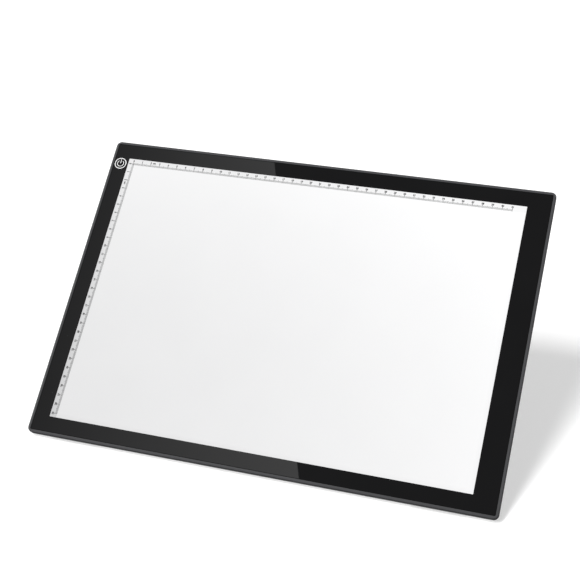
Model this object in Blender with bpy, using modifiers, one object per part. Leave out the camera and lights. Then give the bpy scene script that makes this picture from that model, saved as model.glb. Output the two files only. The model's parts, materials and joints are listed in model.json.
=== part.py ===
"""Tracing light box: an edge-lit A3 pad that leans back on a fold-out rear stand.

Every piece of the pad is placed in the panel's own axes: X to the right, Y up the panel from its
lower edge, Z out of the lit face, with Z = 0 on the rear face. An empty called panel_axes tilts
these axes back and lifts them, so that the pad stands on its two lower rubber feet and on the
rubber sole of its stand. The stand hangs from a second empty that lies on the hinge axis.
"""

import math

import bmesh
import bpy
from mathutils import Matrix, Vector

MM = 0.001
GAP = 0.3 * MM                      # clearance left between neighbouring pieces
RUNNING_GAP = 0.1 * MM              # radial clearance of the turning shaft

# Face of the pad
WINDOW_WIDTH = 430 * MM             # lit area, a little more than an A3 sheet
WINDOW_HEIGHT = 300 * MM
BORDER_LEFT = 19.5 * MM
BORDER_RIGHT = 26.5 * MM            # wider, with room for the driver board
BORDER_TOP = 19.4 * MM
BORDER_BOTTOM = 19.3 * MM
CORNER_RADIUS = 5.5 * MM

# Layers, from the rear face forward
COVER_THICKNESS = 1.7 * MM
REFLECTOR_THICKNESS = 0.3 * MM
GUIDE_THICKNESS = 2.5 * MM
DIFFUSER_THICKNESS = 0.3 * MM
PANEL_THICKNESS = 1.8 * MM
RIM_STEP = 0.2 * MM                 # the rim stands this much proud of the front panel

# Case
WALL = 3.0 * MM
LEDGE = 4.2 * MM
GUIDE_OVERLAP = 3 * MM              # light guide hidden behind the border on each side
RIM_ROUNDING = 0.8 * MM
EDGE_ROUNDING = 0.4 * MM

# Stance
TILT = math.radians(40)             # face of the pad, measured from the floor
CASE_CLEARANCE = 1.2 * MM           # lower rear edge of the case above the floor
FOOT_HEIGHT = 7.5 * MM
FOOT_BAR_X = 185 * MM               # centres of the lower feet, either side of the middle
FOOT_BAR_LENGTH = 50 * MM
FOOT_BAR_LOW = 5 * MM
FOOT_BAR_HIGH = 17 * MM
FOOT_DISC_X = 205 * MM
FOOT_DISC_Y = 316 * MM
FOOT_DISC_RADIUS = 7 * MM

# Stand
HINGE_HEIGHT = 230 * MM             # hinge axis, measured up the panel
HINGE_DEPTH = 3.9 * MM              # hinge axis behind the rear face
LEG_SPREAD = 160 * MM
LEG_WIDTH = 10 * MM
LEG_THICKNESS = 6.6 * MM
SHAFT_RADIUS = 1.5 * MM
EAR_THICKNESS = 4.5 * MM
EAR_RADIUS = 3.5 * MM
SIDE_CLEARANCE = 0.4 * MM           # between a leg and each ear of its bracket
SOLE_THICKNESS = 3 * MM
CROSSBAR_DEPTH = 16 * MM

# Screws
SCREW_RADIUS = 1.0 * MM
SCREW_HOLE_RADIUS = SCREW_RADIUS + GAP
HEAD_RADIUS = 2.1 * MM
HEAD_HOLE_RADIUS = HEAD_RADIUS + GAP
HEAD_HEIGHT = 0.8 * MM

# Power key
KEY_INSET = 8.8 * MM                # key centre, outward from the window's left edge
KEY_DROP = 7 * MM                   # key centre, below the window's top edge

# Values worked out from the sizes above
CASE_WIDTH = BORDER_LEFT + WINDOW_WIDTH + BORDER_RIGHT
CASE_HEIGHT = BORDER_BOTTOM + WINDOW_HEIGHT + BORDER_TOP
WINDOW_LEFT = -CASE_WIDTH / 2 + BORDER_LEFT
WINDOW_RIGHT = WINDOW_LEFT + WINDOW_WIDTH
WINDOW_BOTTOM = BORDER_BOTTOM
WINDOW_TOP = BORDER_BOTTOM + WINDOW_HEIGHT

COVER_TOP = COVER_THICKNESS
REFLECTOR_LOW = COVER_TOP + GAP
GUIDE_LOW = REFLECTOR_LOW + REFLECTOR_THICKNESS + GAP
GUIDE_TOP = GUIDE_LOW + GUIDE_THICKNESS
DIFFUSER_LOW = GUIDE_TOP + GAP
PANEL_LOW = DIFFUSER_LOW + DIFFUSER_THICKNESS + GAP
PANEL_TOP = PANEL_LOW + PANEL_THICKNESS
CASE_DEPTH = PANEL_TOP + RIM_STEP

CAVITY_X = CASE_WIDTH / 2 - WALL    # inner faces of the side walls
CAVITY_LOW = WALL
CAVITY_TOP = CASE_HEIGHT - WALL
OPENING_X = CAVITY_X - LEDGE        # inner faces of the ledge
OPENING_LOW = CAVITY_LOW + LEDGE
OPENING_TOP = CAVITY_TOP - LEDGE

GUIDE_LEFT = WINDOW_LEFT - GUIDE_OVERLAP
GUIDE_RIGHT = WINDOW_RIGHT + GUIDE_OVERLAP
GUIDE_BOTTOM = WINDOW_BOTTOM - GUIDE_OVERLAP
GUIDE_UP = WINDOW_TOP + GUIDE_OVERLAP

KEY_X = WINDOW_LEFT - KEY_INSET
KEY_Y = WINDOW_TOP - KEY_DROP

# LED strips, heat spreaders and the boards beside the light guide
LED_LENGTH = 3 * MM
LED_DEPTH = 1.0 * MM
LED_HEIGHT = 1.4 * MM
LED_PITCH = 12 * MM
STRIP_THICKNESS = 0.6 * MM
STRIP_LEFT = WINDOW_LEFT + 1 * MM
STRIP_RIGHT = WINDOW_RIGHT - 0.5 * MM
SPREADER_WEB = 1.2 * MM
SPREADER_FOOT = 0.8 * MM

BOARD_LOW = COVER_TOP + GAP
BOARD_THICKNESS = 0.8 * MM
BOARD_TOP = BOARD_LOW + BOARD_THICKNESS
BOARD_FLOOR = BOARD_TOP + GAP       # underside of what is soldered on a board
BOARD_END = OPENING_TOP - 0.6 * MM
TOUCH_BOARD_LENGTH = 56 * MM
DRIVER_BOARD_LENGTH = 96 * MM
RIBBON_WIDTH = 4 * MM
RIBBON_THICKNESS = 0.5 * MM
CONNECTOR_LENGTH = 4.2 * MM
LEAD_RADIUS = 0.6 * MM

SOCKET_X = CASE_WIDTH / 2 - 10.5 * MM
SOCKET_Z = 3.8 * MM
SOCKET_WIDTH = 9 * MM
SOCKET_HEIGHT = 3.2 * MM
SOCKET_LENGTH = 9 * MM
SOCKET_WALL = 0.3 * MM

HINGE_LIFT = CASE_CLEARANCE + HINGE_HEIGHT * math.sin(TILT) - HINGE_DEPTH * math.cos(TILT)
BRACKET_WIDTH = LEG_WIDTH + 2 * (SIDE_CLEARANCE + EAR_THICKNESS)
BRACKET_BACK = 9 * MM               # thickness of the stop wall above each leg
BRACKET_SCREW_LENGTH = 6.5 * MM
BRACKET_SCREW_OFFSET = 6 * MM       # from the middle of the bracket
COVER_SCREW_LENGTH = GUIDE_TOP - 0.9 * MM

ROUND_SIDES = 24                    # facets of a shaft, a bore or a foot
SCREW_SIDES = 12                    # facets of a screw or a screw hole
CORNER_STEPS = 6


def clear_scene():
    """Remove whatever the scene holds."""
    for item in list(bpy.data.objects):
        bpy.data.objects.remove(item, do_unlink=True)


def new_collection(name):
    """Add a collection to the scene."""
    group = bpy.data.collections.new(name)
    bpy.context.scene.collection.children.link(group)
    return group


def new_material(name, colour, roughness, metallic=0.0):
    """Plain Principled material."""
    material = bpy.data.materials.new(name)
    material.use_nodes = True
    shader = material.node_tree.nodes["Principled BSDF"]
    shader.inputs["Base Color"].default_value = (*colour, 1.0)
    shader.inputs["Roughness"].default_value = roughness
    shader.inputs["Metallic"].default_value = metallic
    material.diffuse_color = (*colour, 1.0)
    return material


clear_scene()
PARTS = new_collection("light_box")
CUTTERS = new_collection("light_box_cutters")


def new_empty(name, place, parent=None, turn=(0.0, 0.0, 0.0)):
    """Add an empty that carries other pieces."""
    empty = bpy.data.objects.new(name, None)
    empty.location = place
    empty.rotation_euler = turn
    empty.parent = parent
    PARTS.objects.link(empty)
    return empty


PANEL_AXES = new_empty("panel_axes", (0.0, 0.0, CASE_CLEARANCE), turn=(TILT, 0.0, 0.0))
STAND_AXES = new_empty("stand_axes", (0.0, HINGE_HEIGHT, -HINGE_DEPTH), parent=PANEL_AXES)


def add_piece(name, mesh, place, parent, material, turn=(0.0, 0.0, 0.0)):
    """Add a mesh as a piece, or as a cutter where it has no material."""
    piece = bpy.data.objects.new(name, mesh)
    piece.location = place
    piece.rotation_euler = turn
    piece.parent = parent
    if material is None:
        CUTTERS.objects.link(piece)
        piece.hide_render = True
        piece.display_type = "WIRE"
        return piece
    PARTS.objects.link(piece)
    mesh.materials.append(material)
    return piece


def box_mesh(name, size, round_axis=None, radius=0.0):
    """Box centred on its origin, with the four edges along round_axis rounded."""
    shape = bmesh.new()
    bmesh.ops.create_cube(shape, size=1.0)
    bmesh.ops.scale(shape, vec=size, verts=shape.verts)
    if round_axis is not None:
        edges = []
        for edge in shape.edges:
            run = edge.verts[0].co - edge.verts[1].co
            if abs(run[round_axis]) > 0.5 * run.length:
                edges.append(edge)
        bmesh.ops.bevel(
            shape, geom=edges, offset=radius, segments=CORNER_STEPS, profile=0.5, affect="EDGES"
        )
    mesh = bpy.data.meshes.new(name)
    shape.to_mesh(mesh)
    shape.free()
    return mesh


def add_box(name, low, high, material, parent=PANEL_AXES, round_axis=None, radius=0.0):
    """Box between two corners, given in its parent's axes."""
    low = Vector(low)
    high = Vector(high)
    mesh = box_mesh(name, high - low, round_axis, radius)
    return add_piece(name, mesh, (low + high) / 2, parent, material)


def add_cylinder(name, radius, low, high, material, parent=PANEL_AXES, sides=ROUND_SIDES):
    """Cylinder between the centres of its two ends."""
    low = Vector(low)
    run = Vector(high) - low
    shape = bmesh.new()
    bmesh.ops.create_cone(
        shape, cap_ends=True, segments=sides, radius1=radius, radius2=radius, depth=run.length
    )
    mesh = bpy.data.meshes.new(name)
    shape.to_mesh(mesh)
    shape.free()
    mesh.shade_smooth()
    mesh.set_sharp_from_angle(angle=math.radians(40))
    turn = run.to_track_quat("Z", "Y").to_euler()
    return add_piece(name, mesh, low + run / 2, parent, material, turn)


def mesh_of_curve(curve):
    """Closed, welded mesh of a curve datablock."""
    holder = bpy.data.objects.new("outline", curve)
    CUTTERS.objects.link(holder)
    bpy.context.view_layer.update()
    graph = bpy.context.evaluated_depsgraph_get()
    mesh = bpy.data.meshes.new_from_object(holder.evaluated_get(graph))
    bpy.data.objects.remove(holder, do_unlink=True)
    shape = bmesh.new()
    shape.from_mesh(mesh)
    bmesh.ops.remove_doubles(shape, verts=shape.verts, dist=0.001 * MM)
    bmesh.ops.recalc_face_normals(shape, faces=shape.faces)
    shape.to_mesh(mesh)
    shape.free()
    mesh.materials.clear()
    return mesh


def outline_mesh(name, points, thickness):
    """Flat outline in the local XY plane, extruded evenly to both sides of it."""
    curve = bpy.data.curves.new(name, "CURVE")
    curve.dimensions = "2D"
    curve.fill_mode = "BOTH"
    curve.extrude = thickness / 2
    spline = curve.splines.new("POLY")
    spline.points.add(len(points) - 1)
    for point, (across, along) in zip(spline.points, points):
        point.co = (across, along, 0.0, 1.0)
    spline.use_cyclic_u = True
    return mesh_of_curve(curve)


def add_profile(name, points, low_x, high_x, material, parent=PANEL_AXES):
    """Outline given in the parent's YZ plane, extruded along X from low_x to high_x."""
    mesh = outline_mesh(name, points, high_x - low_x)
    turn = (math.pi / 2, 0.0, math.pi / 2)
    return add_piece(name, mesh, ((low_x + high_x) / 2, 0.0, 0.0), parent, material, turn)


def add_wire(name, points, radius, material):
    """Round wire through a list of points, with flat ends."""
    curve = bpy.data.curves.new(name, "CURVE")
    curve.dimensions = "3D"
    curve.bevel_depth = radius
    curve.bevel_resolution = 2
    curve.use_fill_caps = True
    spline = curve.splines.new("POLY")
    spline.points.add(len(points) - 1)
    for point, place in zip(spline.points, points):
        point.co = (*place, 1.0)
    mesh = mesh_of_curve(curve)
    mesh.shade_smooth()
    mesh.set_sharp_from_angle(angle=math.radians(50))
    return add_piece(name, mesh, (0.0, 0.0, 0.0), PANEL_AXES, material)


def cut(piece, cutter):
    """Take the cutter's shape out of the piece."""
    modifier = piece.modifiers.new(cutter.name, "BOOLEAN")
    modifier.operation = "DIFFERENCE"
    modifier.solver = "EXACT"
    modifier.object = cutter


def soften(piece, width, segments=1):
    """Round or chamfer the piece's sharp edges."""
    modifier = piece.modifiers.new("soften", "BEVEL")
    modifier.width = width
    modifier.segments = segments
    modifier.limit_method = "ANGLE"
    modifier.angle_limit = math.radians(40)


def screw_hole_cutter(name, spots, radius, low, high):
    """One cutter made of an upright cylinder at each (x, y) spot."""
    shape = bmesh.new()
    for across, along in spots:
        bmesh.ops.create_cone(
            shape,
            cap_ends=True,
            segments=SCREW_SIDES,
            radius1=radius,
            radius2=radius,
            depth=high - low,
            matrix=Matrix.Translation((across, along, (low + high) / 2)),
        )
    mesh = bpy.data.meshes.new(name)
    shape.to_mesh(mesh)
    shape.free()
    return add_piece(name, mesh, (0.0, 0.0, 0.0), PANEL_AXES, None)


def arc(centre, radius, start, end, steps):
    """Points on a circular arc, both ends included, with angles in degrees."""
    points = []
    for step in range(steps + 1):
        angle = math.radians(start + (end - start) * step / steps)
        points.append(
            (centre[0] + radius * math.cos(angle), centre[1] + radius * math.sin(angle))
        )
    return points


def cover_screw_spots():
    """Screw centres along the middle of the ledge."""
    low = CAVITY_LOW + LEDGE / 2
    high = CAVITY_TOP - LEDGE / 2
    side = CAVITY_X - LEDGE / 2
    spots = []
    for across in (-140 * MM, 0.0, 140 * MM):
        spots.append((across, low))
        spots.append((across, high))
    spots.append((-side, 130 * MM))
    spots.append((side, 130 * MM))
    return spots


def bracket_screw_spots():
    """Screw centres in the stop wall of each hinge bracket."""
    along = HINGE_HEIGHT + LEG_THICKNESS / 2 + GAP + BRACKET_BACK / 2
    spots = []
    for side in (-1, 1):
        for offset in (-BRACKET_SCREW_OFFSET, BRACKET_SCREW_OFFSET):
            spots.append((side * LEG_SPREAD / 2 + offset, along))
    return spots


def make_side_frame():
    """Moulded ring: rim, four side walls and the ledge that carries the front panel."""
    plastic = new_material("satin_frame", (0.06, 0.06, 0.065), 0.42)
    frame = add_box(
        "side_frame",
        (-CASE_WIDTH / 2, 0.0, 0.0),
        (CASE_WIDTH / 2, CASE_HEIGHT, CASE_DEPTH),
        plastic,
        round_axis=2,
        radius=CORNER_RADIUS,
    )
    soften(frame, RIM_ROUNDING, 3)

    cavity_low = (-CAVITY_X, CAVITY_LOW)
    cavity_high = (CAVITY_X, CAVITY_TOP)
    inner_radius = CORNER_RADIUS - WALL
    spare = 1 * MM
    cut(frame, add_box("cut_front_recess", (*cavity_low, GUIDE_TOP),
                       (*cavity_high, CASE_DEPTH + spare), None, round_axis=2, radius=inner_radius))
    cut(frame, add_box("cut_rear_recess", (*cavity_low, -spare),
                       (*cavity_high, COVER_TOP + GAP), None, round_axis=2, radius=inner_radius))
    cut(frame, add_box("cut_opening", (-OPENING_X, OPENING_LOW, -spare),
                       (OPENING_X, OPENING_TOP, CASE_DEPTH + spare), None))

    pocket_depth = CAVITY_X - 0.2 * MM
    cut(frame, add_box("cut_touch_pocket",
                       (-pocket_depth, BOARD_END - TOUCH_BOARD_LENGTH - 2 * MM, 0.0),
                       (-OPENING_X + spare, OPENING_TOP - GAP, CASE_DEPTH - spare), None))
    cut(frame, add_box("cut_driver_pocket",
                       (OPENING_X - spare, BOARD_END - DRIVER_BOARD_LENGTH - 2 * MM, 0.0),
                       (pocket_depth, OPENING_TOP - GAP, CASE_DEPTH - spare), None))
    half = SOCKET_WIDTH / 2 + GAP
    cut(frame, add_box("cut_socket_pocket",
                       (SOCKET_X - half, OPENING_TOP - spare, 0.0),
                       (SOCKET_X + half, CAVITY_TOP - 0.2 * MM, CASE_DEPTH - spare), None))
    rise = SOCKET_HEIGHT / 2 + GAP
    cut(frame, add_box("cut_socket_hole",
                       (SOCKET_X - half, OPENING_TOP + spare, SOCKET_Z - rise),
                       (SOCKET_X + half, CASE_HEIGHT + spare, SOCKET_Z + rise),
                       None, round_axis=1, radius=0.98 * rise))
    cut(frame, screw_hole_cutter("cut_frame_screws", cover_screw_spots(), SCREW_HOLE_RADIUS,
                                 0.0, COVER_SCREW_LENGTH + GAP))


def make_rear_cover():
    """Flat plate set into the rear of the frame, bored for its own and the brackets' screws."""
    plastic = new_material("rear_plastic", (0.035, 0.035, 0.037), 0.6)
    cover = add_box(
        "rear_cover",
        (-CAVITY_X + GAP, CAVITY_LOW + GAP, 0.0),
        (CAVITY_X - GAP, CAVITY_TOP - GAP, COVER_THICKNESS),
        plastic,
        round_axis=2,
        radius=CORNER_RADIUS - WALL - GAP,
    )
    spare = 1 * MM
    seat = HEAD_HEIGHT + 0.2 * MM
    spots = cover_screw_spots()
    front = COVER_TOP + spare
    cut(cover, screw_hole_cutter("cut_cover_holes", spots, SCREW_HOLE_RADIUS, -spare, front))
    cut(cover, screw_hole_cutter("cut_cover_seats", spots, HEAD_HOLE_RADIUS, -spare, seat))
    spots = bracket_screw_spots()
    cut(cover, screw_hole_cutter("cut_bracket_holes", spots, SCREW_HOLE_RADIUS, -spare, front))
    cut(cover, screw_hole_cutter("cut_bracket_seats", spots, HEAD_HOLE_RADIUS,
                                 COVER_TOP - seat, front))


def make_front_panel():
    """Clear sheet that carries the printed border, scales and power key."""
    acrylic = new_material("front_acrylic", (0.9, 0.9, 0.9), 0.05)
    panel = add_box(
        "front_panel",
        (-CAVITY_X + GAP, CAVITY_LOW + GAP, PANEL_LOW),
        (CAVITY_X - GAP, CAVITY_TOP - GAP, PANEL_TOP),
        acrylic,
        round_axis=2,
        radius=CORNER_RADIUS - WALL - GAP,
    )
    soften(panel, 0.2 * MM)


def make_light_stack():
    """Reflector sheet, light guide plate and diffuser sheet, one above the other."""
    white_film = new_material("reflector_film", (0.95, 0.95, 0.95), 0.35)
    clear_acrylic = new_material("guide_acrylic", (0.85, 0.9, 0.9), 0.05)
    milk_film = new_material("diffuser_film", (0.97, 0.97, 0.97), 0.6)
    low = (GUIDE_LEFT, GUIDE_BOTTOM)
    high = (GUIDE_RIGHT, GUIDE_UP)
    add_box("reflector_sheet", (*low, REFLECTOR_LOW),
            (*high, REFLECTOR_LOW + REFLECTOR_THICKNESS), white_film)
    add_box("light_guide_plate", (*low, GUIDE_LOW), (*high, GUIDE_TOP), clear_acrylic)
    add_box("diffuser_sheet", (*low, DIFFUSER_LOW),
            (*high, DIFFUSER_LOW + DIFFUSER_THICKNESS), milk_film)


def make_led_edge(name, edge, outward, strip_material, metal):
    """LED strip and heat spreader along one long edge of the light guide.

    outward is +1 at the top edge and -1 at the bottom edge of the panel.
    """
    led_face = edge + outward * GAP
    strip_face = led_face + outward * LED_DEPTH
    strip_back = strip_face + outward * STRIP_THICKNESS
    strip = add_box(
        "led_strip_" + name,
        (STRIP_LEFT, min(strip_face, strip_back), GUIDE_LOW),
        (STRIP_RIGHT, max(strip_face, strip_back), GUIDE_TOP),
        strip_material,
    )
    middle = (GUIDE_LOW + GUIDE_TOP) / 2
    root = strip_face + outward * STRIP_THICKNESS / 3
    first = STRIP_LEFT + 4 * MM
    leds = add_box(
        "join_leds_" + name,
        (first, min(led_face, root), middle - LED_HEIGHT / 2),
        (first + LED_LENGTH, max(led_face, root), middle + LED_HEIGHT / 2),
        None,
    )
    row = leds.modifiers.new("row", "ARRAY")
    row.use_relative_offset = False
    row.use_constant_offset = True
    row.constant_offset_displace = (LED_PITCH, 0.0, 0.0)
    row.count = int((STRIP_RIGHT - STRIP_LEFT - 8 * MM - LED_LENGTH) / LED_PITCH) + 1
    join = strip.modifiers.new("leds", "BOOLEAN")
    join.operation = "UNION"
    join.solver = "EXACT"
    join.object = leds

    web_face = strip_back + outward * GAP
    web_back = web_face + outward * SPREADER_WEB
    foot_end = OPENING_TOP - GAP if outward > 0 else OPENING_LOW + GAP
    foot_top = BOARD_LOW + SPREADER_FOOT
    section = [
        (web_face, BOARD_LOW),
        (foot_end, BOARD_LOW),
        (foot_end, foot_top),
        (web_back, foot_top),
        (web_back, GUIDE_TOP),
        (web_face, GUIDE_TOP),
    ]
    add_profile("heat_spreader_" + name, section, STRIP_LEFT, STRIP_RIGHT, metal)


def make_led_edges():
    """Both lit edges of the light guide."""
    strip_material = new_material("led_strip_white", (0.9, 0.88, 0.75), 0.4)
    metal = new_material("spreader_aluminium", (0.75, 0.76, 0.78), 0.35, 1.0)
    make_led_edge("top", GUIDE_UP, 1, strip_material, metal)
    make_led_edge("bottom", GUIDE_BOTTOM, -1, strip_material, metal)


def make_tapes():
    """Adhesive strips between the ledge and the front panel, clear of the two board pockets."""
    tape = new_material("black_tape", (0.03, 0.03, 0.03), 0.7)
    low_z = GUIDE_TOP + GAP
    high_z = PANEL_LOW - GAP
    inner = OPENING_X + 0.5 * MM
    outer = CAVITY_X - 0.5 * MM
    left_end = BOARD_END - TOUCH_BOARD_LENGTH - 4 * MM
    right_end = BOARD_END - DRIVER_BOARD_LENGTH - 4 * MM
    start = CAVITY_LOW + 2 * MM
    add_box("panel_tape_left", (-outer, start, low_z), (-inner, left_end, high_z), tape)
    add_box("panel_tape_right", (inner, start, low_z), (outer, right_end, high_z), tape)
    span_left = -inner + 1 * MM
    add_box("panel_tape_bottom", (span_left, CAVITY_LOW + 0.5 * MM, low_z),
            (-span_left, OPENING_LOW - 0.5 * MM, high_z), tape)
    span_right = SOCKET_X - SOCKET_WIDTH / 2 - 2 * MM
    add_box("panel_tape_top", (span_left, OPENING_TOP + 0.5 * MM, low_z),
            (span_right, CAVITY_TOP - 0.5 * MM, high_z), tape)


def make_touch_key():
    """Sensor film behind the printed key, its contact spring, and the touch board."""
    copper = new_material("sensor_copper", (0.72, 0.43, 0.25), 0.35, 1.0)
    steel = new_material("spring_steel", (0.7, 0.7, 0.7), 0.25, 1.0)
    board = new_material("touch_board_green", (0.03, 0.18, 0.08), 0.45)
    chip = new_material("touch_chip_black", (0.02, 0.02, 0.02), 0.5)

    reach = 6.5 * MM
    side = GUIDE_LEFT - 2 * GAP - KEY_X
    add_box("touch_sensor", (KEY_X - side, KEY_Y - reach, DIFFUSER_LOW),
            (KEY_X + side, KEY_Y + reach, DIFFUSER_LOW + DIFFUSER_THICKNESS), copper)

    wire = 0.25 * MM
    coil_radius = 2.2 * MM
    turns = 3
    steps = 12
    low = BOARD_FLOOR + wire
    rise = GUIDE_TOP - wire - low
    points = []
    for step in range(turns * steps + 1):
        angle = 2 * math.pi * step / steps
        points.append((
            KEY_X + coil_radius * math.cos(angle),
            KEY_Y + coil_radius * math.sin(angle),
            low + rise * step / (turns * steps),
        ))
    add_wire("touch_spring", points, wire, steel)

    add_box("touch_board", (-CAVITY_X + 2 * GAP, BOARD_END - TOUCH_BOARD_LENGTH, BOARD_LOW),
            (GUIDE_LEFT - 2 * GAP, BOARD_END, BOARD_TOP), board)
    half = 2.5 * MM
    chip_y = KEY_Y - 20 * MM
    add_box("touch_chip", (KEY_X - half, chip_y - half, BOARD_FLOOR),
            (KEY_X + half, chip_y + half, BOARD_FLOOR + 1 * MM), chip)


def make_driver():
    """Driver board in the wide right border, with its coil, chip and capacitor."""
    board_green = new_material("driver_board_green", (0.03, 0.18, 0.08), 0.45)
    ferrite = new_material("coil_ferrite", (0.09, 0.09, 0.09), 0.7)
    black = new_material("driver_chip_black", (0.02, 0.02, 0.02), 0.5)
    ceramic = new_material("capacitor_tan", (0.55, 0.42, 0.28), 0.5)

    left = GUIDE_RIGHT + 2 * GAP
    right = CAVITY_X - 2 * GAP
    board = add_box("driver_board", (left, BOARD_END - DRIVER_BOARD_LENGTH, BOARD_LOW),
                    (right, BOARD_END, BOARD_TOP), board_green)
    half = SOCKET_WIDTH / 2 + GAP
    mouth = CASE_HEIGHT - 0.5 * MM
    cut(board, add_box("cut_board_notch", (SOCKET_X - half, mouth - SOCKET_LENGTH - GAP, 0.0),
                       (SOCKET_X + half, CASE_HEIGHT, CASE_DEPTH), None))

    middle = (left + right) / 2
    coil_y = BOARD_END - 34 * MM
    coil = add_box("driver_coil", (middle - 3.5 * MM, coil_y - 3.5 * MM, BOARD_FLOOR),
                   (middle + 3.5 * MM, coil_y + 3.5 * MM, BOARD_FLOOR + 1.9 * MM), ferrite,
                   round_axis=2, radius=1 * MM)
    soften(coil, 0.2 * MM)
    chip_y = coil_y - 14 * MM
    add_box("driver_chip", (middle - 2.5 * MM, chip_y - 2 * MM, BOARD_FLOOR),
            (middle + 2.5 * MM, chip_y + 2 * MM, BOARD_FLOOR + 1 * MM), black)
    capacitor_y = chip_y - 12 * MM
    add_box("driver_capacitor", (middle - 1.6 * MM, capacitor_y - 1.3 * MM, BOARD_FLOOR),
            (middle + 1.6 * MM, capacitor_y + 1.3 * MM, BOARD_FLOOR + 1.6 * MM), ceramic)


def make_ribbon():
    """Flat cable over the top heat spreader, between a connector on each board."""
    film = new_material("ribbon_white", (0.85, 0.85, 0.82), 0.4)
    nylon = new_material("connector_nylon", (0.8, 0.77, 0.68), 0.5)
    high_y = BOARD_END - 1 * MM
    low_y = high_y - RIBBON_WIDTH
    left_end = GUIDE_LEFT - 2.5 * MM
    right_end = GUIDE_RIGHT + 2.5 * MM
    add_box("ribbon_cable", (left_end, low_y, BOARD_FLOOR),
            (right_end, high_y, BOARD_FLOOR + RIBBON_THICKNESS), film)
    for name, near, far in (
        ("left", left_end - GAP, left_end - GAP - CONNECTOR_LENGTH),
        ("right", right_end + GAP, right_end + GAP + CONNECTOR_LENGTH - 1 * MM),
    ):
        add_box("ribbon_connector_" + name, (min(near, far), low_y - 0.7 * MM, BOARD_FLOOR),
                (max(near, far), high_y + 0.7 * MM, BOARD_FLOOR + 1.5 * MM), nylon)


def make_leads():
    """Insulated lead from the driver board to the right-hand end of each LED strip."""
    insulation = new_material("lead_red", (0.45, 0.03, 0.03), 0.5)
    height = BOARD_FLOOR + LEAD_RADIUS
    start_x = GUIDE_RIGHT + 4 * MM
    end_x = STRIP_RIGHT + GAP
    bend = 3 * MM
    top_y = GUIDE_UP + 1.9 * MM
    points = [(start_x, top_y - 12 * MM, height)]
    for across, along in arc((start_x - bend, top_y - bend), bend, 0, 90, 6):
        points.append((across, along, height))
    points.append((end_x, top_y, height))
    add_wire("led_lead_top", points, LEAD_RADIUS, insulation)

    bottom_y = GUIDE_BOTTOM - 1.9 * MM
    bend = 6 * MM
    start_x = end_x + 14 * MM
    points = [(start_x, BOARD_END - DRIVER_BOARD_LENGTH + 4 * MM, height)]
    for across, along in arc((start_x - bend, bottom_y + bend), bend, 0, -90, 8):
        points.append((across, along, height))
    points.append((end_x, bottom_y, height))
    add_wire("led_lead_bottom", points, LEAD_RADIUS, insulation)


def make_power_socket():
    """Low-voltage power inlet: a steel shell with round ends, and the contact tongue in it."""
    steel = new_material("socket_steel", (0.72, 0.72, 0.73), 0.3, 1.0)
    black = new_material("tongue_black", (0.03, 0.03, 0.03), 0.45)
    mouth = CASE_HEIGHT - 0.5 * MM
    rear = mouth - SOCKET_LENGTH
    half = SOCKET_WIDTH / 2
    rise = SOCKET_HEIGHT / 2
    shell = add_box("power_socket_shell", (SOCKET_X - half, rear, SOCKET_Z - rise),
                    (SOCKET_X + half, mouth, SOCKET_Z + rise), steel,
                    round_axis=1, radius=0.98 * rise)
    inner_half = half - SOCKET_WALL
    inner_rise = rise - SOCKET_WALL
    cut(shell, add_box("cut_socket_mouth",
                       (SOCKET_X - inner_half, rear + 1 * MM, SOCKET_Z - inner_rise),
                       (SOCKET_X + inner_half, mouth + 1 * MM, SOCKET_Z + inner_rise),
                       None, round_axis=1, radius=0.98 * inner_rise))
    tongue_half = 3.3 * MM
    tongue_rise = 0.35 * MM
    add_box("power_socket_tongue",
            (SOCKET_X - tongue_half, rear + 1 * MM + GAP, SOCKET_Z - tongue_rise),
            (SOCKET_X + tongue_half, mouth - 1 * MM, SOCKET_Z + tongue_rise), black)


def screw_mesh(name, shank_length):
    """Screw turned from a profile: flat head at Z = 0, shank pointing up."""
    curve_points = [
        (0.0, 0.0),
        (HEAD_RADIUS - 0.2 * MM, 0.0),
        (HEAD_RADIUS, 0.2 * MM),
        (HEAD_RADIUS, HEAD_HEIGHT),
        (SCREW_RADIUS, HEAD_HEIGHT),
        (SCREW_RADIUS, shank_length - 0.5 * MM),
        (0.5 * SCREW_RADIUS, shank_length),
        (0.0, shank_length),
    ]
    shape = bmesh.new()
    rim = [shape.verts.new((across, 0.0, along)) for across, along in curve_points]
    for first, second in zip(rim, rim[1:]):
        shape.edges.new((first, second))
    bmesh.ops.spin(
        shape, geom=shape.verts[:] + shape.edges[:], axis=(0, 0, 1), cent=(0, 0, 0),
        angle=2 * math.pi, steps=SCREW_SIDES, use_merge=True
    )
    bmesh.ops.remove_doubles(shape, verts=shape.verts, dist=0.001 * MM)
    bmesh.ops.recalc_face_normals(shape, faces=shape.faces)
    mesh = bpy.data.meshes.new(name)
    shape.to_mesh(mesh)
    shape.free()
    mesh.shade_smooth()
    mesh.set_sharp_from_angle(angle=math.radians(40))
    return mesh


def make_screws():
    """Cover screws, driven from the rear, and bracket screws, driven from inside the cover."""
    zinc = new_material("screw_black_zinc", (0.12, 0.12, 0.13), 0.35, 1.0)
    for number, (across, along) in enumerate(cover_screw_spots(), 1):
        name = f"cover_screw_{number}"
        mesh = screw_mesh(name, COVER_SCREW_LENGTH)
        add_piece(name, mesh, (across, along, 0.0), PANEL_AXES, zinc)
    for number, (across, along) in enumerate(bracket_screw_spots(), 1):
        name = f"bracket_screw_{number}"
        mesh = screw_mesh(name, BRACKET_SCREW_LENGTH)
        add_piece(name, mesh, (across, along, COVER_TOP), PANEL_AXES, zinc, (math.pi, 0.0, 0.0))


def floor_depth(along, origin_lift=CASE_CLEARANCE):
    """Local Z of the floor at a local Y, for axes whose origin is origin_lift above the floor."""
    return -(origin_lift + along * math.sin(TILT)) / math.cos(TILT)


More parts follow.
